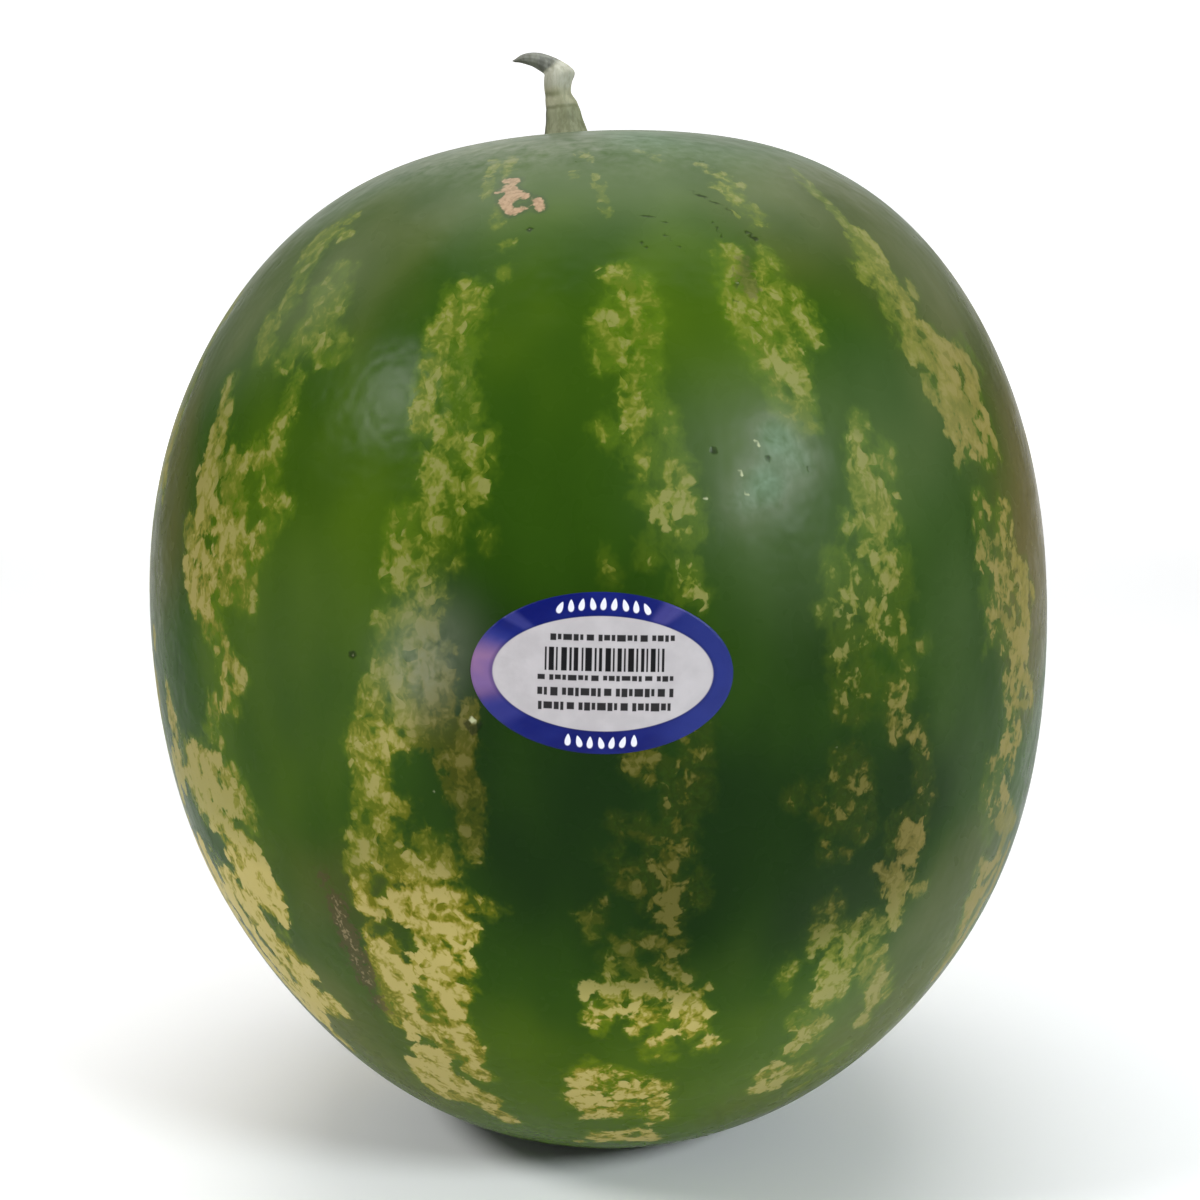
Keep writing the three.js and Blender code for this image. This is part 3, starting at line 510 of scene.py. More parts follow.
RIGHT = {
    "cream": [
        (49.5,252,49.4,250,0.9), (50,248,49.7,245,1.5), (47.9,244,47.4,242,1.5), (46.3,242,46.3,240,1), (48.3,239,48.9,236,1.2), (49.5,237,49.2,235,1.2),
        (48.5,235,48.3,234,1), (47.2,232,47.6,231,1.1), (48.5,232,48.7,230,1), (50.7,229,50.7,227,1), (50.5,227,50.9,225,1), (52.1,226,52.6,224,1),
        (53.2,223,56.7,222,1.5), (51.5,221,52.7,217,2.2), (56,217,56.6,215,1.3), (49.6,215,51.7,213,2.2), (47.8,211,48.9,211,0.8), (57,209,57.5,208,1.3),
        (51.2,208,51.1,205,1), (55.3,205,57.2,204,1.3), (51,204,50.9,202,1.5), (55.5,203,55,202,1.5), (48.5,202,48.9,201,0.8), (52.1,201,54.2,199,1.5),
        (52,199,52.6,198,1.2), (58.1,181,57.5,177,0.9), (55.5,180,56.5,176,1.5), (51.2,173,52.3,172,0.9), (53.4,172,55.8,170,1.2), (52.6,168,54.2,165,1.2),
        (53.6,164,54,162,1.2), (55.2,156,55.7,153,1.1), (57.5,155,61.6,151,1.8), (57.2,153,60.9,148,2.6), (57.6,131,60.3,128,1.3), (56.1,115,58.4,111,1.6),
        (54.9,113,56,111,1), (57.6,110,58.1,108,1), (61.3,93,58.3,92,2.1), (61.4,89,59.4,85,2.1), (57.6,86,57.6,82,2.4), (56.2,83,57.5,78,2.1),
        (57.7,76,57.2,74,1.6), (65,93,64,82,2.2), (62,80,61,71,2.2), (60,67,58.5,60,1.8)],
    "khaki": [
        (48.4,249,48.4,247,1.5), (46,246,46.4,244,1.7), (44.8,243,44.7,243,1), (47.6,230,47.7,227,1), (45.2,225,45.6,222,1.4), (49.7,225,52.5,223,1.2),
        (46.8,223,48.6,222,1.7), (56.9,222,57.8,220,1.3), (58.7,218,58.4,216,1.3), (54.6,214,55.5,211,1.5), (46.1,214,46.8,213,1), (47.7,210,49.2,207,1.5),
        (53.1,207,53,204,1.2), (48,205,48.8,203,1.2), (57.5,203,57.3,200,1), (57.7,200,58.2,198,1), (56.1,187,57.8,185,1.3), (52,187,52.5,185,1.2),
        (58.2,176,58.2,173,1), (55.3,175,55.7,174,1), (49.2,175,53.6,174,1), (57.5,172,61.2,169,1.8), (58.7,168,61.9,164,2.1), (55.7,168,56.9,165,1.5),
        (62.8,164,64,162,1.6), (60,162,61.6,155,1.8), (50.6,162,52.3,160,1.2), (51.1,159,51.5,156,1), (56,149,58.2,147,1), (58.2,146,56.7,145,1),
        (58.9,144,63.5,139,1.8), (55.9,144,55.5,141,1), (63.2,138,64.6,134,1.6), (56.9,140,58,137,1.3), (57.9,127,55.7,129,1), (55,127,58.2,125,1.5),
        (59.2,125,60.5,126,1.3), (55.3,125,58.5,123,1.3), (51.6,124,53.2,124,1), (56.4,117,57.5,115,1)],
    "faint": [
        (46.3,264,47.1,260,1.3), (47.1,260,47.2,255,1), (43.2,242,43.3,240,1), (53,239,52.4,237,1), (50.3,211,53.2,209,2), (49.1,199,48.3,198,1.2),
        (50.4,181,52.4,178,1), (51.6,177,54,178,1.5), (53.5,160,56.6,157,1.5), (58.8,136,62.7,134,1.3), (57.9,120,59.3,118,1), (52.9,123,52.6,121,1),
        (60,107,64.5,101,1.9), (56.9,106,62.2,101,2.4), (60.4,100,61,96,1.9), (57.6,72,58,67,1.6)],
    "lime": [
        (46,249,43.6,244,1.5), (46.4,239,45.3,235,1.5), (46.3,229,44.3,225,1.4), (59.7,226,61.1,219,1.5), (49.5,221,48.5,216,2), (47.6,212,48.3,207,1.7),
        (51.2,183,49.6,179,1.7), (51,170,49.6,165,2), (50.4,155,50,153,1.7), (51.8,122,51.2,117,2), (52.7,107,55.1,102,1.8)],
    "dark": [
        (54.9,219,54.7,217,0.7), (48.1,217,47.8,216,1.2), (54.3,216,54.3,216,0.7), (56.3,164,58.2,160,1.3), (53.9,150,53.9,150,1.5), (60.3,139,60.3,139,0.8),
        (55.9,120,55.9,120,1)],
    "wash": [
        (49.2,251,49.1,249,1.3), (48.4,247,48.3,243,2.2), (44.6,243,46.5,241,1.5), (48.6,239,49.6,236,1.7), (47.8,233,47.8,229,1.2),
        (46.4,226,46.2,223,1.2), (50.1,228,52,225,1.2), (54,223,56.3,220,2.8), (49.7,219,51,213,2.7), (57,215,55.5,211,2), (49.6,212,50.4,207,2.2),
        (52.7,207,55.7,204,2.2), (49.5,204,53.1,200,2.2), (56,183,55.3,178,1.7), (53.3,171,57,166,2.3), (53.7,165,58.3,162,2),
        (56.6,153,58.2,147,2.3), (59.9,159,61.6,151,1.8), (56.8,143,58.7,137,1.8), (55.7,137,56.4,134,1.3), (57.8,128,55.1,127,1.5),
        (55.7,112,57.3,109,1), (56.3,93,55.8,86,1.8), (55.4,84,57.2,77,1.9),
    ],
    "veil": [
        (47.2,249,46.5,241,3.7), (48.1,240,48.9,235,2.7), (45.3,236,44.8,230,1.9), (47.8,233,47.2,223,3.2), (50.2,226,50,216,4.2),
        (56.7,223,57.5,216,3.3), (46.9,217,48.2,211,2.2), (51.8,212,55,202,5.2), (53.1,200,55,197,2.2), (50.8,188,50.2,174,2.2),
        (54.7,183,54.8,173,3.2), (53,166,55.2,153,3.7), (58.3,162,58.7,137,3.6), (50.6,164,51.5,155,2), (55.4,143,57,127,2.8),
        (54.4,121,54.2,113,3.3), (51.2,117,53.8,108,1.8), (54.5,94,56.1,79,2.9),
    ],
}


# The four lists of soft weights (painted light and shade, fuller patches, painted brown reflection, wax bloom with
# painted sheen) are typed at loose points. Their values were then adjusted by comparing the mean colour and the share
# of pale skin of large regions with the render's.
# painted light and shade: the green and its patches are lighter where light falls and darker in shade
PAINTED_LIGHT_SPOTS = [  # how light the green is: longitude, height, 0 (darkest) to 1
    (-36,238,0.7), (-15,256,0.7), (8,253,0.75), (21,252,0.75), (38,236,0.6), (-30,214,0.7), (-5,214,0.7), (3,228,0.7), (16,232,0.85),
    (26,202,0.7), (-28,190,0.85), (-3,198,0.5), (5,202,0.7), (-31,165,0.85), (-6,184,0.45), (1,180,0.3), (-4,160,0.02), (20,184,0.7),
    (22,162,0.35), (-34,148,0.8), (20,146,0.2), (43,150,0.4), (-35,122,0.8), (-3,130,0.05), (17,128,0), (34,126,0.05),
    (-36,102,0.7), (-4,110,0), (-18,92,0.45), (-24,104,0.35), (20,107,0), (33,104,0), (47,94,0.4), (-10,84,0.6), (3,90,0), (19,84,0.1),
    (46,74,0.7), (-33,62,0.9), (-14,66,1), (-9,60,1), (-6,78,0.6), (1,61,0.95), (21,62,0.9), (30,70,0.8), (-9,38,1.05), (20,34,1.15), (-26,36,1.1), (2,26,1.1), (38,44,1.1), (52,58,0.95),
]

FULLER = [  # where the patches close up or thin out: longitude, height, mm
    (29,246,0.7), (43,247,1), (36,228,0.9), (51,228,0.8), (45,210,0.9), (25,228,0.5), (-22,158,0.5), (-22,140,0.5), (-13,142,0.7),
    (-23,121,0.5), (-13,123,0.5), (-38,96,1.1), (-25,101,0.6), (33,77,0.7), (43,95,0.8), (26,55,0.5), (14,59,0.3), (-49,190,0.6),
    (-47,172,0.4), (-57,248,0.3), (12,177,-0.7), (29,158,-0.5), (3,105,-0.6), (11,124,-0.5), (29,121,-0.4), (-16,82,0), (3,84,0.1),
    (20,177,0), (31,193,0.2), (-13,194,-0.1), (5,228,0.2), (-17,246,-0.3), (-5,143,0), (20,141,0), (14,203,-0.2), (-32,156,0), (-6,84,0),
]

# scratches and nicks in the skin, and pale flecks, laid like the patches; the flecks in the sheen right of centre are
# painted glints
NICKS = [(21.5,260.2,24,258.0,0.6), (24,258.0,26,256.0,0.45), (25.9,256.7,26.7,254.6,0.5), (11.8,254.2,13.6,253.6,0.45), (13.6,253.6,15.6,252.2,0.4),
    (14.3,250,15.4,248.2,0.45), (22.6,252.5,22.9,249.3,0.45), (15.8,247.3,16.6,245.9,0.4), (10.8,248.1,11.5,246.5,0.45), (21.3,235.2,21.8,234.3,0.35), (15.5,202.5,15.6,202.3,0.75), (21.4,200.6,21.5,200.4,0.6),
    (22,237.6,22.7,239,0.5), (-11.1,143.5,-10.4,141.4,0.75), (-10.4,141.4,-9.7,143.5,0.6), (-5.2,250.8,-5,250.8,0.9),
    (-24,156.9,-23.8,156.9,0.95), (25.9,198.2,26.1,197.7,0.35), (27.2,250.3,28,248.9,0.8)]
FLECKS_AND_GLINTS = [(-5.2,250.8,-5,250.8,0.42), (-24,156.9,-23.8,156.9,0.45), (16.7,44.5,16.8,44.4,0.45), (-10.6,144.5,-10.3,143.9,0.6),
    (14.1,192.4,14.2,192.4,0.45), (20.3,204.5,20.7,203.2,0.35), (18.1,198.2,18.3,197.1,0.35), (18.4,193.5,18.7,192.8,0.35),
    (-15.3,127.4,-15.1,126.9,0.45), (-23.7,107.7,-23.6,107.7,0.5), (22.1,238.5,22.6,238.5,0.4), (-8.9,87.8,-8.8,87.3,0.35),
    (27.3,135.8,27.5,135.7,0.4)]

# painted brown reflection, where the green is browner at the sides; and wax bloom with painted sheen and reflection,
# where the skin is greyest (longitude, height, how much)
BROWN_REFLECTION_SPOTS = [(68,200,0.8), (66,185,1), (65,170,1), (64,155,0.6), (73,228,0.55), (62,235,0.5), (58,248,0.45), (52,228,0.5), (56,256,0.5),
    (35,249,0.35), (-72,202,0.55), (-62,186,0.5), (-60,171,0.5), (-28,235,0.3), (-34,247,0.35), (-59,235,0.35), (57,194,0.3), (-40,62,0.45),
    (-36,93,0.2), (-28,97,0.5), (-36,38,0.4), (40,32,0.4), (51,54,0.5), (51,87,0.4), (-45,196,0), (-31,186,0), (-31,157,0), (-35,130,0),
    (-29,208,0), (-8,217,0), (-8,235,0.1), (3,235,0), (16,237,0), (14,217,0), (3,184,0), (19,179,0), (19,162,0), (42,176,0.08), (45,142,0.12),
    (48,207,0.2), (36,221,0.1), (26,170,0), (19,113,0), (-2,115,0), (-8,75,0), (2,60,0), (19,74,0.1), (31,108,0), (-38,162,0),
    (-55,150,0.1), (-29,122,0), (-25,84,0.1),
    (96,235,0), (98,205,0), (98,180,0), (96,150,0), (84,130,0), (112,215,0), (112,165,0), (-94,215,0), (-94,185,0), (-94,160,0), (80,120,0)]
BLOOM_AND_SHEEN = [(20,198,0.26), (26,182,0.16), (37,205,0.18), (-40,242,0.34), (-56,230,0.30), (-18,264,0.40), (12,266,0.34), (-4,275,0.68), (-60,262,0.5), (40,262,0.32), (58,240,0.26), (44,205,0.14),
    (-31,160,0.08), (-28,148,0.04), (-52,150,0), (-46,120,0), (46,80,0.26), (38,60,0.24), (56,100,0.22), (28,48,0.16), (31,92,0.06), (18,60,0.02), (-33,74,0.10), (-24,48,0.06), (3,120,0), (3,160,0), (-20,110,0), (20,120,0), (35,125,0.02),
    (-60,271,0.8), (-35,273,0.78), (-18,275,0.75), (12,275,0.65), (32,273,0.52), (52,269,0.45), (-90,265,0.72), (-78,246,0.42), (-125,273,0.75),
    (180,275,0.7), (125,273,0.55), (90,266,0.4), (64,254,0.34), (48,130,0.12), (47,165,0.12)]

TOP_MARKS = {"khaki": [(-12.5,269.9,-11.4,263.5,0.9), (-16.3,269.2,-15.4,265.2,0.9), (-14.4,263.1,-13.7,259.2,0.8),
    (4.2,270.2,5.7,268.5,0.9), (2.1,264.7,2.4,263.6,0.8), (6,264.4,6,263.1,0.5), (27.6,267.7,28,265.1,0.8), (28.1,264,27.1,260.4,0.7)],
    "faint": [(6.4,261.3,6.9,254,0.9), (-10.7,256.6,-10.7,251.8,1.2), (-8.5,247.1,-8.2,248.2,0.9), (-8.5,241.4,-7.8,240,1),
    (17.3,270.8,19.7,268,0.8), (49.3,268,47,257.9,1), (47,257.9,47.5,252.2,1)]}

# ------------------------------------------------------------------ melon skin mesh
N = 128
LOOK = np.array([0.0, -0.40, 0.03])   # the net is cast from here, so that it is finer on the front
faces_dir = [  # centre, u, v of each cube side
    ((1, 0, 0), (0, 1, 0), (0, 0, 1)), ((-1, 0, 0), (0, -1, 0), (0, 0, 1)),
    ((0, 1, 0), (-1, 0, 0), (0, 0, 1)), ((0, -1, 0), (1, 0, 0), (0, 0, 1)),
    ((0, 0, 1), (1, 0, 0), (0, 1, 0)), ((0, 0, -1), (1, 0, 0), (0, -1, 0)),
]
g = np.tan(np.linspace(-1, 1, N + 1) * math.pi / 4)
GU, GV = np.meshgrid(g, g, indexing="xy")
dirs, quads, uvs = [], [], []
for k, (c, u, v) in enumerate(faces_dir):
    c, u, v = map(np.array, (c, u, v))
    d = c + GU[..., None] * u + GV[..., None] * v
    d = (d / np.linalg.norm(d, axis=-1, keepdims=True)).reshape(-1, 3)
    b = d @ LOOK
    d = LOOK + d * (-b + np.sqrt(b * b + 1 - LOOK @ LOOK))[:, None]
    dirs.append(d)
    i = np.arange(N)
    I, J = np.meshgrid(i, i, indexing="xy")
    a = (J * (N + 1) + I + k * (N + 1) ** 2).ravel()
    quads.append(np.stack([a, a + 1, a + N + 2, a + N + 1], -1))
    # bake layout: three by two squares
    col, row = k % 3, k // 3
    m = 0.008
    U0, V0 = (I / N).ravel(), (J / N).ravel()
    q = np.stack([np.stack([U0, V0], -1), np.stack([U0 + 1 / N, V0], -1),
                  np.stack([U0 + 1 / N, V0 + 1 / N], -1), np.stack([U0, V0 + 1 / N], -1)], 1)
    q[..., 0] = (col + m + q[..., 0] * (1 - 2 * m)) / 3
    q[..., 1] = (row + m + q[..., 1] * (1 - 2 * m)) / 2
    uvs.append(q)
dirs, quads, uvs = np.concatenate(dirs), np.concatenate(quads), np.concatenate(uvs)
key = np.round(dirs * 1e5).astype(np.int64)
_, first, inverse = np.unique(key, axis=0, return_index=True, return_inverse=True)
inverse = inverse.ravel()
dirs = dirs[first]
quads = inverse[quads]
PHI = np.arccos(np.clip(dirs[:, 2], -1, 1))
TH = np.arctan2(dirs[:, 1], dirs[:, 0])
P = skin(PHI, TH)
melon = new_object("melon_skin", P + CENTRE, quads)
uv = melon.data.uv_layers.new(name="OFBake")
uv.data.foreach_set("uv", uvs.astype(np.float32).ravel())

# ------------------------------------------------------------------ the stripes as distance fields
TONE = {"cream": 1.0, "khaki": 0.55, "faint": 0.18}
rng = np.random.default_rng(20)


def centre_line(stripe):
    rows = np.array(stripe["cream"] + stripe["khaki"])
    return float(np.mean((rows[:, 0] + rows[:, 2]) / 2))


def moved(stripe, to, mirror=False, squash=1.0, jitter=0.0):
    """The same patches about another longitude, for the sides that don't show in front."""
    c, s = centre_line(stripe), -1 if mirror else 1
    out = {}
    for kind, rows in stripe.items():
        if kind in ("tan", "brown"):
            continue
        new = []
        for l0, h0, l1, h1, r in rows:
            j = rng.normal(0, 1, 3)
            a, b = to + s * (l0 - c) * squash + j[0] * 1.3 * jitter, to + s * (l1 - c) * squash + j[0] * 1.3 * jitter
            dz = j[1] * 2.5 * jitter
            new.append((a, h0 + dz, b, h1 + dz, r * float(np.exp(0.16 * j[2] * jitter))))
        out[kind] = new
    return out


STRIPES = [LEFT, LEFT_MID, MID, RIGHT_MID, RIGHT,
           moved(MID, 85, True, 1.1, 1), moved(LEFT_MID, 113, False, 1.2, 1), moved(RIGHT_MID, 141, True, 1.0, 1),
           moved(MID, 169, False, 1.0, 1), moved(LEFT_MID, 197, True, 1.25, 1), moved(RIGHT_MID, 225, False, 1.0, 1),
           moved(MID, 254, True, 1.1, 1), moved(LEFT_MID, 282, False, 1.2, 1), TOP_MARKS]


def bits(rows):
    """Short straight pieces on the skin: ends and half widths, in mm from the centre."""
    A = np.array(rows, float)
    n = np.ceil(np.maximum(np.abs(A[:, 3] - A[:, 1]), np.abs(A[:, 2] - A[:, 0]) * 2.2) / 9).clip(1).astype(int)
    p0, p1, r, src = [], [], [], []
    for i, (l0, h0, l1, h1, w) in enumerate(A):
        t = np.linspace(0, 1, n[i] + 1)
        l, h = l0 + (l1 - l0) * t, h0 + (h1 - h0) * t - CENTRE[2]
        p0 += list(zip(l[:-1], h[:-1])); p1 += list(zip(l[1:], h[1:]))
        r += [w] * n[i]; src += [i] * n[i]
    p0, p1 = np.array(p0), np.array(p1)
    lim = lambda z: np.clip(z, -139.5, 133.0)
    return on_skin(p0[:, 0], lim(p0[:, 1])), on_skin(p1[:, 0], lim(p1[:, 1])), np.array(r), np.array(src)


def field(rows, reach, weight=None):
    """Depth inside the nearest patch (mm, negative outside), and a weighted mean of the patches' tone."""
    best = np.full(len(P), -reach)
    num, den = np.zeros(len(P)), np.full(len(P), 1e-9)
    if rows:
        a, b, r, src = bits(rows)
        for k in range(len(a)):
            mid, half = (a[k] + b[k]) / 2, np.linalg.norm(b[k] - a[k]) / 2
            near = np.nonzero(((P - mid) ** 2).sum(1) < (half + r[k] + reach) ** 2)[0]
            q, d = P[near] - a[k], b[k] - a[k]
            t = np.clip(q @ d / max(d @ d, 1e-9), 0, 1)
            depth = r[k] - np.linalg.norm(q - t[:, None] * d, axis=1)
            best[near] = np.maximum(best[near], depth)
            if weight is not None:
                e = np.exp(1.8 * depth.clip(-3, 3))
                num[near] += e * weight[src[k]]
                den[near] += e
    return best, num / den


pale_rows, tones, rows_of = [], [], {"lime": [], "dark": [], "wash": [], "veil": []}
for s in STRIPES:
    for kind in ("cream", "khaki", "faint"):
        pale_rows += s.get(kind, [])
        tones += [TONE[kind]] * len(s.get(kind, []))
    for kind in rows_of:
        rows_of[kind] += s.get(kind, [])
PALE, TONES = field(pale_rows, 6.0, np.array(tones))
WASH, _ = field(rows_of["wash"], 6.0)
VEIL, _ = field(rows_of["veil"], 7.0)
LIME, _ = field(rows_of["lime"], 5.0)
HOLE, _ = field(rows_of["dark"], 4.0)
TAN, _ = field(LEFT_MID["tan"], 3.0)
BROWN, _ = field(RIGHT_MID["brown"], 4.0)
# one depth for the pale flakes (positive where they cover), one for the lime round them
low = 1 - smooth(-75, 20, P[:, 2])
FLAKE = np.maximum.reduce([np.minimum(PALE + 0.55, 1.9), np.minimum(WASH + 0.35, 0.50 + 0.60 * low), np.minimum(VEIL + 0.2, -0.12)])
# the stripe left of the middle is fullest low down
FLAKE = FLAKE + 0.55 * (1 - smooth(-62, -30, P[:, 2])) * smooth(5, 12, -P[:, 0]) * (FLAKE > -1.2)
# and those to the right are broken up more
FLAKE = FLAKE - 0.45 * smooth(-8, 4, P[:, 0])
HALO = np.maximum.reduce([LIME, PALE + 0.3, WASH + 1.0, np.minimum(VEIL + 0.6, 1.0)])
HALO = np.minimum(HALO, 0.4 - 1.6 * HOLE) - 2.2 * smooth(96, 124, P[:, 2])
w_pale, w_wash = np.exp(1.6 * PALE.clip(-6, 1.5)), 0.7 * np.exp(1.6 * WASH.clip(-6, 1.0))
w_veil = 0.6 * np.exp(1.6 * VEIL.clip(-6, 0.0))
TONES = (w_pale * TONES + w_wash * 0.60 + w_veil * 0.26) / (w_pale + w_wash + w_veil)
TONES = TONES * (1 - 0.42 * smooth(10, 75, P[:, 2]))
TONES = TONES * (1 - 0.40 * np.exp(-(((P[:, 0] + 42) / 24) ** 2 + ((P[:, 2] + 26) / 32) ** 2)) * (P[:, 1] < 0))
# painted light and shade on the green and its patches, eased between the points of the list
PAINTED_LIGHT_SPOTS = np.array(PAINTED_LIGHT_SPOTS, float)
spots = on_skin(PAINTED_LIGHT_SPOTS[:, 0], np.clip(PAINTED_LIGHT_SPOTS[:, 1] - CENTRE[2], -139, 133))
num, den = np.full(len(P), 0.03 * 0.5), np.full(len(P), 0.03)
for q, v in zip(spots, PAINTED_LIGHT_SPOTS[:, 2]):
    e = np.exp(-((P - q) ** 2).sum(1) / 19.0 ** 2)
    num += e * v
    den += e
PAINTED_LIGHTNESS = num / den


def eased(spots, reach, floor):
    spots = np.array(spots, float)
    num, den = np.zeros(len(P)), np.full(len(P), floor)
    for q, v in zip(on_skin(spots[:, 0], np.clip(spots[:, 1] - CENTRE[2], -139, 133)), spots[:, 2]):
        e = np.exp(-((P - q) ** 2).sum(1) / reach ** 2)
        num += e * v
        den += e
    return num / den


FLAKE = np.minimum(FLAKE + 1.15 * eased(FULLER, 13.0, 0.25) * smooth(-3.0, -1.0, FLAKE), -0.3 - 1.5 * HOLE)
vertex_field(melon, "brown_reflection", eased(BROWN_REFLECTION_SPOTS, 16.0, 0.05))
# wax bloom with painted sheen: the grey veil at the top, a grey painted reflection left of the label, and painted
# highlight spots right of centre
vertex_field(melon, "bloom_and_sheen", eased(BLOOM_AND_SHEEN, 16.0, 0.45) + eased([(-16, 155, 1.0), (-14, 163, 0.6)], 8.5, 1.4)
             + eased([(21,195,0.75), (22.8,205,0.75), (25.4,200,0.5), (18,191,0.4)], 4.6, 1.0))
# painted light: how far the patches lean to cream where light falls, low on the fruit, and less to the right
lower = P[:, 2] - 24 * smooth(8, 20, -P[:, 0])
PAINTED_SUN = (1 - smooth(-76, -54, lower)) * (1 - 0.8 * smooth(12, 62, P[:, 0])) + 0.40 * smooth(60, 95, -P[:, 0]) * (1 - smooth(20, 80, P[:, 2]))
PAINTED_SUN = PAINTED_SUN + 0.55 * smooth(8, 20, -P[:, 0]) * (1 - smooth(45, 70, -P[:, 0])) * (1 - smooth(-8, 18, P[:, 2]))
vertex_field(melon, "painted_sun", np.clip(PAINTED_SUN, 0, 1))
# painted reflection: the patches turn browner towards the sides
vertex_field(melon, "side_brown_reflection", np.clip(smooth(52, 92, P[:, 0]) + 0.5 * smooth(72, 104, -P[:, 0]) * smooth(-50, 0, P[:, 2]), 0, 1))
SCAR, _ = field([(-31.2, 101, -30.6, 96, 2.0), (-30.4, 96, -29.8, 84, 3.2), (-29.8, 86, -29.4, 73, 3.6), (-29.4, 72, -29.0, 66, 2.6)], 6.0)
NICK, _ = field(NICKS, 3.0)
FLECK_AND_GLINT, _ = field(FLECKS_AND_GLINTS, 3.0)
vertex_field(melon, "nick", NICK)
vertex_field(melon, "fleck_and_glint", FLECK_AND_GLINT)
vertex_field(melon, "pale", FLAKE)
vertex_field(melon, "tone", TONES)
vertex_field(melon, "lime", HALO)
vertex_field(melon, "painted_light", PAINTED_LIGHTNESS)
vertex_field(melon, "tan", TAN)
vertex_field(melon, "brown", BROWN)
vertex_field(melon, "scar", SCAR)
# a pale yellow patch where the fruit lay on the ground, low on the back
lay = np.array([0.25, 0.80, -0.54])
lay /= np.linalg.norm(lay)
away = np.degrees(np.arccos(np.clip(P @ lay / np.linalg.norm(P, axis=1), -1, 1)))
vertex_field(melon, "ground", 1 - smooth(13, 25, away))
# nearness of the two ends
top_d = np.hypot(P[:, 0] - DIMPLE_X, P[:, 1])
vertex_field(melon, "stemend", np.where(P[:, 2] > 0, 1 - smooth(5, 30, top_d), 0))
vertex_field(melon, "blossom", np.where(P[:, 2] < 0, 1 - smooth(3, 16, np.hypot(P[:, 0] + 2, P[:, 1])), 0))


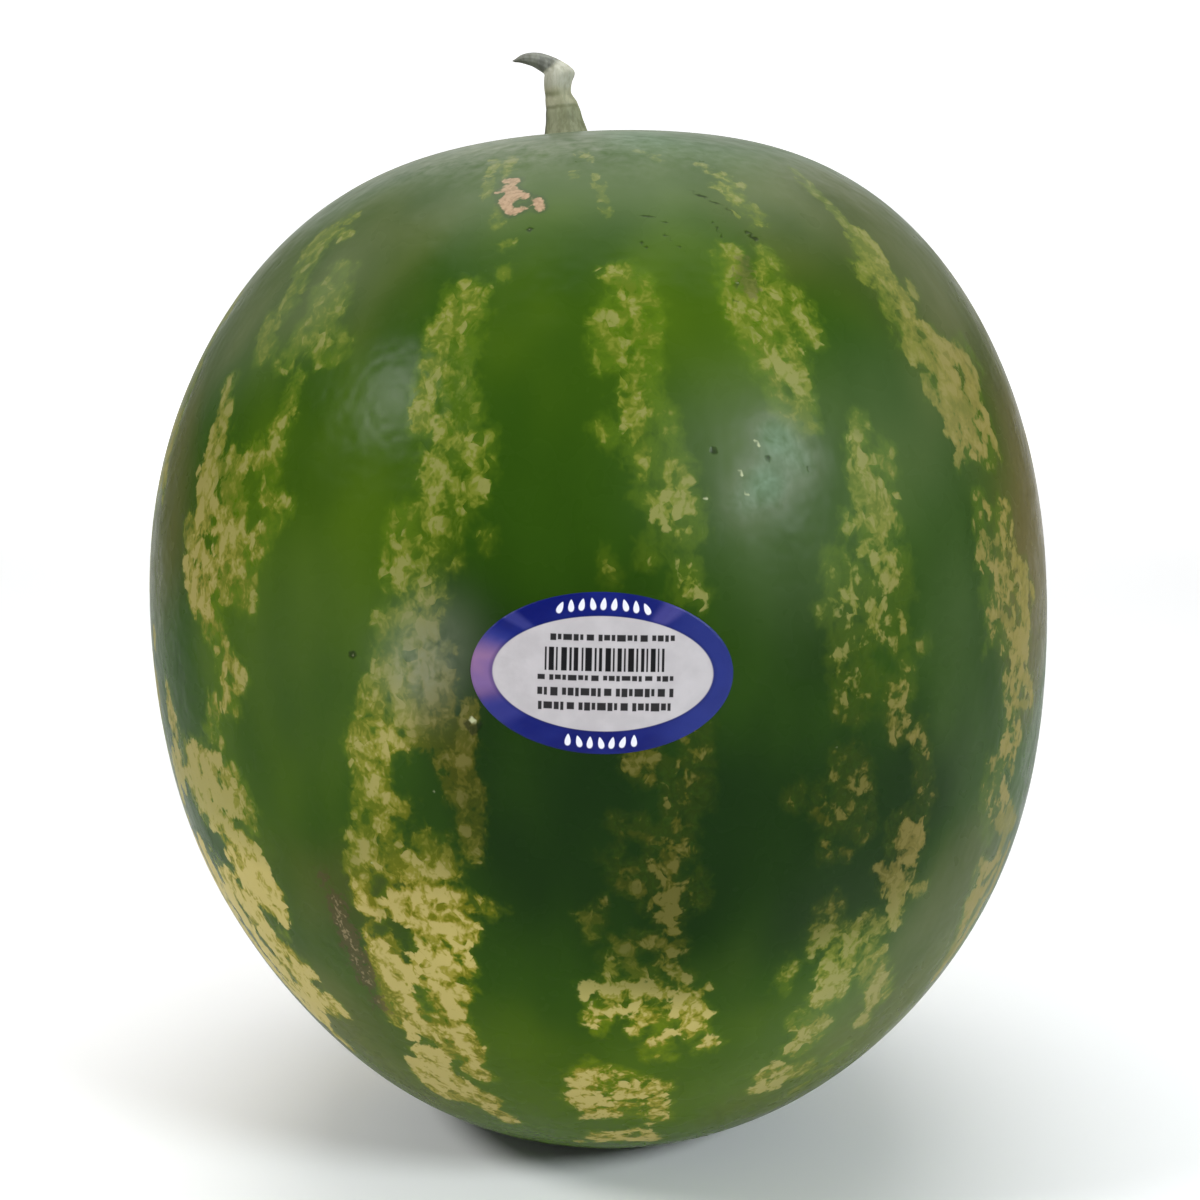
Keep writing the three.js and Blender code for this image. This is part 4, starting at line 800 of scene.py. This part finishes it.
def material_melon():
    n = Nodes("rind")
    p = n.scaled(n.coords(), 1000.0)
    warped = n.warp(p, 0.22, 1.5, 1.0)
    tall = n.scaled(warped, (1.0, 1.0, 0.82))

    def blobs(scale):
        v = n.t.nodes.new("ShaderNodeTexVoronoi")
        n.put(v.inputs["Vector"], tall)
        v.inputs["Scale"].default_value = scale
        return n.step(v.outputs["Distance"], 0.80, 0.30), n.sep(v.outputs["Color"])

    # random edges: soft noise, and rounded blobs that are either there or not
    rough = n.sub(n.noise(tall, 0.30, 2.0, 0.62), 0.5)
    fine = n.sub(n.noise(tall, 0.95, 1.0, 0.6), 0.5)
    round1, pick1 = blobs(0.34)
    blob1 = n.mul(n.sub(pick1[0], 0.40), round1)
    painted_light = n.attr("painted_light")
    tone = n.attr("tone")
    painted_sun = n.attr("painted_sun")
    # painted shade: below this the patches take their dim, shaded colours
    painted_lit = n.step(painted_light, -0.05, 0.60)

    edge = n.add(n.mul(rough, 3.4), n.mul(fine, 2.0), n.mul(blob1, 2.0), 0.08)
    pale_d = n.add(n.attr("pale"), edge)
    pale = n.step(pale_d, -0.30, 0.60)
    deep = n.step(pale_d, 0.1, 1.9)
    # bright flakes only where the tone is high; olive otherwise
    flake = n.add(n.mad(tone, 0.95, -0.26), n.mul(deep, 0.34), n.mul(rough, 1.9), n.mul(fine, 0.85), n.mul(blob1, 0.80), 0.03)

    lime_d = n.add(n.attr("lime"), n.mul(rough, 6.5), n.mul(blob1, 1.8), n.mul(fine, 2.0))
    # the lime round the patches is stronger under the painted light
    lime = n.mul(n.step(lime_d, -1.9, 1.6), n.mad(painted_sun, 0.30, 0.50))

    # greens: painted light lightens them and painted shade darkens them; the painted brown reflection browns them
    mid = n.sub(n.noise(n.scaled(p, (1.0, 1.0, 0.5)), 0.05, 1.0, 0.55), 0.5)
    g = n.add(painted_light, n.mul(mid, 0.55))
    dark = n.mix(n.step(g, -0.05, 0.60), (16, 40, 5), (41, 69, 10))
    dark = n.mix(n.step(g, 0.50, 1.15), dark, (70, 95, 14))
    # painted reflection: the green turns brown where the brown surroundings reflect
    dark = n.mix(n.mul(n.step(n.add(n.attr("brown_reflection"), n.mul(mid, 0.3)), 0.05, 0.95), 0.75), dark, (98, 84, 50))
    limec = n.mix(n.step(painted_light, 0.0, 0.8), (46, 58, 6), n.mix(painted_sun, (88, 112, 20), (98, 116, 10)))
    limec = n.mix(n.mul(n.step(fine, -0.02, 0.14), 0.30), limec, (54, 84, 16))
    # patches: dimmer copies in painted shade, greenish higher up, and cream low down under painted light
    olive = n.mix(painted_lit, (50, 56, 8), n.mix(painted_sun, (84, 99, 22), (106, 106, 16)))
    khaki = n.mix(painted_lit, (68, 68, 16), n.mix(painted_sun, (105, 113, 36), (142, 134, 48)))
    cream = n.mix(painted_lit, (88, 84, 36), n.mix(painted_sun, (124, 125, 66), (180, 165, 100)))
    palec = n.mix(n.step(flake, 0.10, 0.42), olive, khaki)
    palec = n.mix(n.step(flake, 0.45, 0.85), palec, cream)
    # painted reflection: browner patches at the sides
    palec = n.mix(n.mul(n.attr("side_brown_reflection"), 0.55), palec, (134, 114, 66))
    col = n.mix(lime, dark, limec)
    cover = n.mul(pale, n.fmix(n.step(tone, 0.05, 0.45), 0.60, 0.96))
    col = n.mix(cover, col, palec)

    # marks
    tan_d = n.add(n.attr("tan"), n.mul(fine, 0.9), 0.45)
    tan = n.step(tan_d, -0.1, 0.4)
    tan_rim = n.mul(n.step(tan_d, -1.2, -0.1), n.math("SUBTRACT", 1.0, tan))
    col = n.mix(n.mul(tan_rim, 0.5), col, (34, 50, 24))
    col = n.mix(tan, col, n.mix(n.step(fine, -0.15, 0.15), (150, 120, 92), (172, 140, 110)))
    brown = n.step(n.add(n.attr("brown"), n.mul(rough, 6.0), n.mul(fine, 5.0), -0.6), -1.2, 1.2)
    col = n.mix(n.mul(brown, 0.55), col, (78, 76, 42))
    scar_d = n.add(n.attr("scar"), n.mul(rough, 7.0), n.mul(fine, 9.0), -0.5)
    scar = n.step(scar_d, -0.9, 0.8)
    col = n.mix(n.mul(scar, 0.82), col, n.mix(n.step(scar_d, 2.2, 3.6), (74, 66, 38), (132, 116, 84)))
    ground = n.step(n.add(n.attr("ground"), n.mul(rough, 0.5)), 0.25, 0.85)
    col = n.mix(n.mul(ground, 0.8), col, n.mix(n.step(mid, -0.15, 0.15), (190, 178, 100), (208, 198, 126)))
    end = n.step(n.add(n.attr("stemend"), n.mul(fine, 0.4)), 0.55, 0.95)
    col = n.mix(n.mul(end, 0.55), col, (112, 122, 74))
    bloss = n.step(n.add(n.attr("blossom"), n.mul(fine, 0.5)), 0.45, 0.9)
    col = n.mix(bloss, col, (142, 126, 88))

    # nicks, flecks, and the wax bloom with painted sheen and painted reflection that greys the shoulders
    nick = n.step(n.attr("nick"), -0.35, 0.25)
    bloom_sheen_at = n.attr("bloom_and_sheen")
    bloom_and_sheen = n.mul(bloom_sheen_at, n.add(n.mul(mid, 0.9), n.mul(n.mul(rough, n.step(bloom_sheen_at, 0.15, 0.45)), 2.2), 1.0))
    # painted highlight: the sheen right of centre is teal; the rest is grey
    col = n.mix(bloom_and_sheen, col, n.mix(n.mul(n.step(bloom_sheen_at, 0.25, 0.55), n.step(n.sep(p)[0], -5.0, 15.0)), (126, 131, 114), (116, 138, 116)))
    col = n.mix(n.mul(nick, 0.75), col, (24, 34, 14))
    # pale flecks; those in the sheen right of centre are painted glints
    fleck_and_glint = n.step(n.attr("fleck_and_glint"), -0.25, 0.2)
    col = n.mix(n.mul(fleck_and_glint, 0.9), col, (176, 180, 142))
    n.put(n.bsdf.inputs["Base Color"], col)
    wax = n.sub(n.noise(p, 0.09, 2.0, 0.65), 0.5)
    n.put(n.bsdf.inputs["Roughness"], n.add(0.27, n.mul(wax, 0.22), n.mul(pale, 0.10), n.mul(bloom_and_sheen, 0.2)))
    n.bsdf.inputs["IOR"].default_value = 1.08
    n.bsdf.inputs["Specular Tint"].default_value = (3.3, 3.3, 3.3, 1)
    height = n.add(n.mul(wax, 0.42), n.mul(nick, -0.12))
    n.put(n.bsdf.inputs["Normal"], n.bump(height, 1.0, 0.001))
    return n.mat


melon.data.materials.append(material_melon())
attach(melon, "root")
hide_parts("melon_body")


# ------------------------------------------------------------------ stem
# Sections of the stub in the part's frame (mm): one edge's x, z, the other edge's x, z, and depth over width.
STEM = [[-15.70, 277.6, -1.30, 278.2, 1.00], [-15.40, 279.3, -2.45, 279.9, 1.00], [-14.83, 284.46, -4.45, 284.98, 0.98],
        [-14.81, 287.88, -5.67, 288.67, 0.98], [-14.94, 290.51, -7.03, 290.77, 1.00], [-15.06, 292.08, -7.57, 292.08, 1.02],
        [-15.19, 293.92, -7.29, 294.44, 1.00], [-15.12, 295.49, -6.55, 297.06, 0.94], [-15.04, 296.28, -8.23, 298.76, 1.00],
        [-15.44, 296.80, -10.67, 300.19, 1.10], [-16.66, 297.58, -13.11, 301.24, 1.10], [-18.29, 298.50, -15.82, 302.02, 1.05],
        [-19.92, 299.02, -18.53, 302.15, 1.00], [-21.54, 299.46, -20.98, 301.63, 1.00], [-23.02, 299.60, -22.86, 300.46, 1.00]]


def spline(rows, count):
    """Centripetal-ish smooth rows through the given ones."""
    R = np.array(rows, float)
    R = np.vstack([2 * R[0] - R[1], R, 2 * R[-1] - R[-2]])
    mids = np.stack([(R[:, 0] + R[:, 2]) / 2, (R[:, 1] + R[:, 3]) / 2], -1)
    seg = np.linalg.norm(np.diff(mids, axis=0), axis=1)
    knots = np.concatenate([[0], np.cumsum(seg)])
    s = np.linspace(knots[1], knots[-2] - 1e-6, count)
    out = []
    for v in s:
        i = int(np.clip(np.searchsorted(knots, v, side="right") - 1, 1, len(R) - 3))
        t = (v - knots[i]) / (knots[i + 1] - knots[i])
        m0 = (R[i + 1] - R[i - 1]) / (knots[i + 1] - knots[i - 1]) * (knots[i + 1] - knots[i])
        m1 = (R[i + 2] - R[i]) / (knots[i + 2] - knots[i]) * (knots[i + 1] - knots[i])
        out.append((2 * t ** 3 - 3 * t ** 2 + 1) * R[i] + (t ** 3 - 2 * t ** 2 + t) * m0
                   + (-2 * t ** 3 + 3 * t ** 2) * R[i + 1] + (t ** 3 - t ** 2) * m1)
    return np.array(out), s - knots[1]


def skin_z(x, y):
    """Height of the finished skin near the top, from the centre."""
    x, y = np.asarray(x, float), np.asarray(y, float)
    z = np.full(x.shape, 135.0)
    for _ in range(12):
        r = np.sqrt(x * x + y * y + z * z)
        th = np.arctan2(y, x)
        R = radius(np.arccos(z / r), th) - INSET - 0.2
        z = np.sqrt(np.maximum(R * R - x * x - y * y, 1))
    d = np.hypot(x - DIMPLE_X, y)
    a = np.arctan2(y, x - DIMPLE_X)
    pucker = 0.28 * np.cos(9 * a + 0.8 * np.sin(2 * a)) * np.exp(-((d - 9.5) / 5.0) ** 2)
    return z - DIMPLE_DEPTH * np.exp(-(d / DIMPLE_SIGMA) ** 2) - np.abs(pucker)


SIDES, RINGS = 72, 110
rows, along = spline(STEM, RINGS)
w = np.linspace(0, 2 * np.pi, SIDES, endpoint=False)
verts, fld_s, fld_a = [], [], []
for k, (row, s) in enumerate(zip(rows, along)):
    mid = np.array([(row[0] + row[2]) / 2, (row[1] + row[3]) / 2])
    half = np.array([(row[2] - row[0]) / 2, (row[3] - row[1]) / 2])
    side = np.linalg.norm(half) * row[4]
    f = s / along[-1]
    twist = 0.5 * f
    rib = 1 - 0.030 * (1 - f) * (1 - np.cos(5 * w + 0.6 + twist * 3)) - 0.016 * (1 - np.cos(11 * w + 1.7 + 4 * f))
    # rings where the stalk dried and shrank
    for at, deep, wide in ((13.4, 0.026, 0.8), (10.0, 0.026, 0.7), (6.6, 0.012, 1.0)):
        rib = rib - deep * np.exp(-((s - at - 0.5 * np.sin(w + 0.5)) / wide) ** 2)
    flare = 1 + 0.10 * np.exp(-(s / 1.1) ** 2)
    x = mid[0] + half[0] * np.cos(w) * rib * flare
    z = mid[1] + half[1] * np.cos(w) * rib * flare
    y = CENTRE[1] + side * np.sin(w) * rib * flare
    ground_z = skin_z(x - CENTRE[0], y - CENTRE[1]) + CENTRE[2]
    if k == 0:
        z = ground_z - 0.35
    else:
        z = np.maximum(z, ground_z + 0.05 * k)
    verts.append(np.stack([x, y, z], -1))
    fld_s += [s] * SIDES
    fld_a += list(w)
V = np.concatenate(verts)
tip = V[-SIDES:].mean(0) + np.array([-0.85, 0, -0.12])
V = np.vstack([V, tip])
tri = []
for k in range(RINGS - 1):
    for j in range(SIDES):
        a, b = k * SIDES + j, k * SIDES + (j + 1) % SIDES
        tri += [(a, b, b + SIDES), (a, b + SIDES, a + SIDES)]
last = (RINGS - 1) * SIDES
for j in range(SIDES):
    tri.append((last + j, last + (j + 1) % SIDES, len(V) - 1))
stem = new_object("stem_stub", V, tri)
vertex_field(stem, "along", fld_s + [along[-1]])
vertex_field(stem, "front", list(-np.sin(np.array(fld_a))) + [0])
vertex_field(stem, "left", list(-np.cos(np.array(fld_a))) + [0])
STEM_LENGTH = float(along[-1])


def material_stem():
    n = Nodes("dry_stem")
    p = n.scaled(n.coords(), 1000.0)
    s = n.attr("along")
    s = n.add(s, n.mul(n.sub(n.noise(p, 0.35, 2.0), 0.5), 1.2))
    fib = n.noise(n.scaled(n.warp(p, 0.4, 0.5), (1.0, 1.0, 0.12)), 1.3, 2.0, 0.5)
    blot = n.noise(n.scaled(p, (1.0, 1.0, 0.5)), 0.40, 3.0, 0.6)
    patch = n.step(blot, 0.4, 0.62)
    low = n.mix(patch, (110, 113, 81), (134, 137, 105))
    mid = n.mix(patch, (140, 140, 110), (156, 155, 126))
    high = n.mix(patch, (164, 163, 144), (178, 177, 160))
    horn = n.mix(patch, (93, 94, 86), (119, 121, 111))
    col = n.mix(n.step(s, 8.9, 10.3), low, mid)
    col = n.mix(n.step(s, 13.5, 17.0), col, high)
    for at, wide, much in ((9.9, 0.8, 0.62), (13.3, 1.3, 0.60)):
        band = n.math("SUBTRACT", 1.0, n.step(n.math("ABSOLUTE", n.sub(s, at)), 0.1, wide))
        if at > 12:
            band = n.mul(band, n.step(n.attr("left"), -0.7, 0.5))
        col = n.mix(n.mul(band, much), col, (98, 102, 64))
    col = n.mix(n.step(s, 21.0, 22.4), col, horn)
    # painted highlight: a light band along the crease where the tip bends away
    light = n.math("SUBTRACT", 1.0, n.step(n.math("ABSOLUTE", n.sub(s, 20.7)), 0.2, 0.9))
    col = n.mix(n.mul(light, 0.50), col, (184, 182, 166))
    col = n.mix(n.mul(n.step(s, STEM_LENGTH - 6.0, STEM_LENGTH - 0.5), 0.5), col, (92, 90, 82))
    col = n.mix(n.mul(n.step(fib, 0.52, 0.34), 0.22), col, (92, 96, 62))
    # painted shade: the left edge is darker low down, on its shaded side
    col = n.mix(n.mul(n.mul(n.step(n.attr("left"), 0.80, 0.97), n.step(s, 12.5, 9.0)), 0.6), col, (58, 62, 42))
    n.put(n.bsdf.inputs["Base Color"], col)
    n.bsdf.inputs["Roughness"].default_value = 0.68
    h = n.add(n.mul(fib, 0.22), n.mul(blot, 0.20), n.mul(n.noise(p, 2.2, 2.0), 0.06))
    n.put(n.bsdf.inputs["Normal"], n.bump(h, 0.8, 0.001))
    return n.mat


stem.data.materials.append(material_stem())
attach(stem, "root")
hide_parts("stem")

# ------------------------------------------------------------------ label
LA, LB, LX, LZ, LTILT = 28.85, 17.75, -0.15, 12.85, math.radians(-1.2)
rho0 = float(radius(np.array(math.pi / 2), np.array(-math.pi / 2)))


def label_at(u, v, lift):
    c, s = math.cos(LTILT), math.sin(LTILT)
    across, up = u * c - v * s, u * s + v * c
    th, z = -math.pi / 2 + (LX + across) / rho0, LZ + up
    phi = np.full(np.shape(th), math.pi / 2)
    for _ in range(20):
        phi = np.arccos(z / radius(phi, th))
    q = skin(phi, th)
    h = 1e-3
    a, b = skin(phi + h, th) - skin(phi - h, th), skin(phi, th + h) - skin(phi, th - h)
    nn = np.cross(a, b)
    nn /= np.linalg.norm(nn, axis=-1, keepdims=True)
    return q + nn * np.asarray(lift)[..., None] + CENTRE


SEG, STEPS = 192, 34
fr = np.concatenate([np.linspace(0.04, 0.94, STEPS - 6), [0.955, 0.97, 0.982, 0.991, 0.997, 1.0]])
t = np.linspace(0, 2 * np.pi, SEG, endpoint=False)
FR, T = np.meshgrid(fr, t, indexing="ij")
U, Vv = LA * FR * np.cos(T), LB * FR * np.sin(T)
# the film lies flat, with a few puckers running in from the rim
lift = 0.16 + 0.0 * U
for at, wide, up in ((math.radians(139), 0.055, 0.22), (math.radians(57), 0.06, 0.20), (math.radians(64), 0.03, 0.10),
                     (math.radians(182), 0.16, 0.16), (math.radians(318), 0.05, 0.10), (math.radians(236), 0.05, 0.08)):
    dt = np.angle(np.exp(1j * (T - at)))
    lift = lift + up * np.exp(-(dt / wide) ** 2) * smooth(0.70, 0.97, FR)
lift = lift - 0.16 * smooth(0.985, 1.0, FR)
top = label_at(U, Vv, lift).reshape(-1, 3)
under = label_at(U[-1], Vv[-1], np.full(SEG, -0.06))
mid_pt = label_at(np.array([0.0]), np.array([0.0]), np.array([0.16]))
LV = np.vstack([top, under, mid_pt])
nr = len(fr)
tri = []
for k in range(nr):
    for j in range(SEG):
        a, b = k * SEG + j, k * SEG + (j + 1) % SEG
        tri += [(a, a + SEG, b + SEG), (a, b + SEG, b)]
for j in range(SEG):
    tri.append((len(LV) - 1, j, (j + 1) % SEG))
label = new_object("label_film", LV, tri)
lu = np.concatenate([U.ravel(), U[-1], [0]])
lv = np.concatenate([Vv.ravel(), Vv[-1], [0]])
vertex_field(label, "lu", lu)
vertex_field(label, "lv", lv)


def material_label():
    n = Nodes("label_film")
    u, v = n.attr("lu"), n.attr("lv")
    vec = n.t.nodes.new("ShaderNodeCombineXYZ")
    n.put(vec.inputs[0], u)
    n.put(vec.inputs[1], v)
    uvv = vec.outputs[0]
    blur = n.mul(n.sub(n.noise(uvv, 1.3, 2.0), 0.5), 0.05)

    def ellipse(a, b, cu=0.0, cv=0.0):
        x, y = n.math("DIVIDE", n.sub(u, cu), a), n.math("DIVIDE", n.sub(v, cv), b)
        return n.math("SQRT", n.add(n.mul(x, x), n.mul(y, y)))

    inner = ellipse(24.17, 12.63, 0.18, 0.0)
    white = n.step(inner, 1.006, 0.988)
    rim_shade = n.mul(n.step(inner, 0.965, 1.0), n.step(inner, 1.05, 1.0))

    def box(cu, cv, hu, hv, soft=0.10):
        a = n.step(n.math("ABSOLUTE", n.sub(u, cu)), hu + soft, hu - soft)
        b = n.step(n.math("ABSOLUTE", n.sub(v, cv)), hv + soft, hv - soft)
        return n.mul(a, b)

    def union(marks):
        r = marks[0]
        for m in marks[1:]:
            r = n.math("MAXIMUM", r, m)
        return r

    # plain upright bars of mixed widths, standing for a printed code that reads as nothing
    bars, x = [], -12.5
    for wide, gap in ((0.40, 0.45), (1.15, 0.40), (0.40, 0.75), (1.25, 0.50), (0.55, 0.40), (1.00, 0.70), (0.40, 0.40), (1.45, 0.55),
                      (0.45, 0.50), (0.70, 0.70), (1.20, 0.40), (0.40, 0.60), (0.95, 0.45), (0.40, 0.50), (1.30, 0.45), (0.45, 0.60),
                      (0.75, 0.40), (0.40, 0.55), (1.10, 0.45), (0.35, 0.55), (0.55, 0.4)):
        bars.append(box(x + wide / 2, 3.17, wide / 2, 2.55, 0.09))
        x += wide + gap
    # rows of short rounded dashes where small print would be
    dash = []
    for row, (cv, start, stop, hv) in enumerate(((7.93, -11.4, 15.6, 0.72), (-0.85, -14.0, 16.0, 0.62), (-3.95, -14.0, 16.3, 0.95), (-7.1, -13.8, 15.4, 0.92))):
        x, k = start, row * 5
        while x < stop - 0.5:
            wide = min((1.3, 0.8, 1.9, 1.1, 0.7, 1.6, 0.9)[k % 7], stop - x)
            dash.append(box(x + wide / 2, cv + 0.04 * ((k * 5) % 3 - 1), wide / 2, hv * (1.0, 0.85, 0.92)[k % 3], 0.10))
            x += wide + (0.34, 0.32, 0.95, 0.32, 0.38, 0.32, 0.7)[(k * 3 + 1) % 7]
            k += 1
    ink = n.math("MAXIMUM", union(bars), n.mul(union(dash), 0.97))
    # small pale seeds round the border, above and below
    seeds = []
    for side, count, half in ((1, 9, 9.4), (-1, 7, 7.2)):
        for i in range(count):
            cu = -half + 2 * half * i / (count - 1)
            cv = side * 15.2 * math.sqrt(1 - (cu / 26.6) ** 2)
            lean = -cu / 26.6 * side * 0.6 + (0.22, -0.16, 0.10, -0.24, 0.14)[i % 5]
            du, dv = n.sub(u, cu), n.sub(v, cv)
            x1 = n.add(n.mul(du, math.cos(lean)), n.mul(dv, -math.sin(lean)))
            y1 = n.add(n.mul(dv, math.cos(lean)), n.mul(du, math.sin(lean)))
            # a drop: narrower towards its point
            e = n.math("SQRT", n.add(n.math("POWER", n.math("DIVIDE", x1, n.mad(y1, -0.20, 0.60)), 2.0), n.math("POWER", n.mul(y1, 1 / 1.30), 2.0)))
            seeds.append(n.step(e, 1.12, 0.88))
    seed = union(seeds)

    angle = n.math("ARCTAN2", n.math("DIVIDE", v, LB), n.math("DIVIDE", u, LA))
    tint = n.noise(n.scaled(uvv, (0.7, 1.0, 1.0)), 0.10, 2.0, 0.5)
    blue = n.mix(n.step(tint, 0.38, 0.64), (8, 18, 92), (18, 30, 106))
    blue = n.mix(n.mul(n.step(u, 6.0, 22.0), 0.6), blue, (42, 52, 116))

    # painted highlights: pale wedges of glare on the film
    def glare_wedge(deg, wide, lo=0.80):
        d = n.math("ABSOLUTE", n.math("WRAP", n.sub(angle, math.radians(deg)), math.pi, -math.pi))
        return n.step(n.add(d, n.mul(n.sub(tint, 0.5), 0.10)), math.radians(wide) * 1.25, math.radians(wide) * 0.35)

    # painted highlights: violet and lilac glare on the film round its rim
    blue = n.mix(n.mul(glare_wedge(136, 4), 0.28), blue, (84, 86, 150))
    blue = n.mix(n.mul(glare_wedge(57, 5.5), 0.36), blue, (90, 84, 150))
    blue = n.mix(n.mul(glare_wedge(160, 14), 0.45), blue, (66, 70, 140))
    blue = n.mix(n.mul(glare_wedge(180, 24), 0.85), blue, n.mix(n.step(tint, 0.4, 0.6), (122, 94, 142), (142, 106, 140)))
    blue = n.mix(n.mul(glare_wedge(212, 12), 0.4), blue, (66, 68, 140))
    paper = n.mix(n.step(n.noise(uvv, 0.16, 3.0), 0.35, 0.65), (172, 167, 169), (180, 175, 177))
    paper = n.mix(n.mul(ink, 0.99), paper, (3, 3, 5))
    col = n.mix(n.mul(seed, 0.92), blue, (226, 226, 240))
    col = n.mix(n.mul(rim_shade, 0.45), col, (16, 24, 74))
    col = n.mix(white, col, paper)
    n.put(n.bsdf.inputs["Base Color"], col)
    n.bsdf.inputs["Roughness"].default_value = 0.34
    n.bsdf.inputs["IOR"].default_value = 1.22
    n.put(n.bsdf.inputs["Normal"], n.bump(n.noise(uvv, 0.5, 3.0), 0.35, 0.0004))
    return n.mat


label.data.materials.append(material_label())
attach(label, "root")
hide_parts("label")

# ------------------------------------------------------------------ stage and light
floor_me = bpy.data.meshes.new("floor")
W, D0, D1, H = 6.0, -4.0, 2.0, 4.2
prof = [(D0, 0.0), (0.0, 0.0)]
for i in range(25):
    a = math.radians(90 * i / 24)
    prof.append((D1 + 1.4 * math.sin(a), 1.4 - 1.4 * math.cos(a)))
prof.append((D1 + 1.4, H))
vs, fs = [], []
for i, (y, z) in enumerate(prof):
    vs += [(-W, y, z), (W, y, z)]
    if i:
        fs.append((2 * i - 2, 2 * i - 1, 2 * i + 1, 2 * i))
floor_me.from_pydata(vs, [], fs)
floor_me.polygons.foreach_set("use_smooth", [True] * len(fs))
floor_ob = bpy.data.objects.new("floor", floor_me)
scene.collection.objects.link(floor_ob)
nf = Nodes("floor_paper")
nf.bsdf.inputs["Base Color"].default_value = (0.93, 0.93, 0.93, 1)
nf.bsdf.inputs["Roughness"].default_value = 0.9
nf.bsdf.inputs["Specular IOR Level"].default_value = 0.1
back = nf.t.nodes.new("ShaderNodeSeparateXYZ")
nf.put(back.inputs[0], nf.coords())
nf.bsdf.inputs["Emission Color"].default_value = (1, 1, 1, 1)
nf.put(nf.bsdf.inputs["Emission Strength"], nf.mul(nf.mul(nf.step(back.outputs[1], 0.35, 2.4), nf.step(nf.math("ABSOLUTE", back.outputs[0]), 1.9, 1.35)), 0.68))
floor_me.materials.append(nf.mat)

world = bpy.data.worlds.new("world")
scene.world = world
world.use_nodes = True
world.node_tree.nodes["Background"].inputs[0].default_value = (1, 1, 1, 1)
world.node_tree.nodes["Background"].inputs[1].default_value = 0.21


def area(name, at, look, size, power, colour=(1, 1, 1), shape="RECTANGLE"):
    d = bpy.data.lights.new(name, "AREA")
    d.shape, d.size, d.size_y = shape, size[0], size[1]
    d.energy, d.color = power, colour
    o = bpy.data.objects.new(name, d)
    scene.collection.objects.link(o)
    o.location = at
    o.rotation_euler = (Vector(look) - Vector(at)).to_track_quat("-Z", "Y").to_euler()
    return o


MIDDLE = (0, 0, 0.14)


def towards(direction, distance):
    d = Vector(direction).normalized() * distance
    return tuple(Vector(MIDDLE) + d)


area("key", towards((-0.70, -0.38, 0.61), 1.6), MIDDLE, (0.38, 0.38), 12.5, shape="ELLIPSE")
area("second", towards((0.64, -0.64, 0.43), 1.6), MIDDLE, (0.40, 0.38), 17, (0.93, 1.0, 1.03), shape="ELLIPSE")
area("top", (0.0, 0.2, 1.6), MIDDLE, (1.5, 1.2), 18.5)
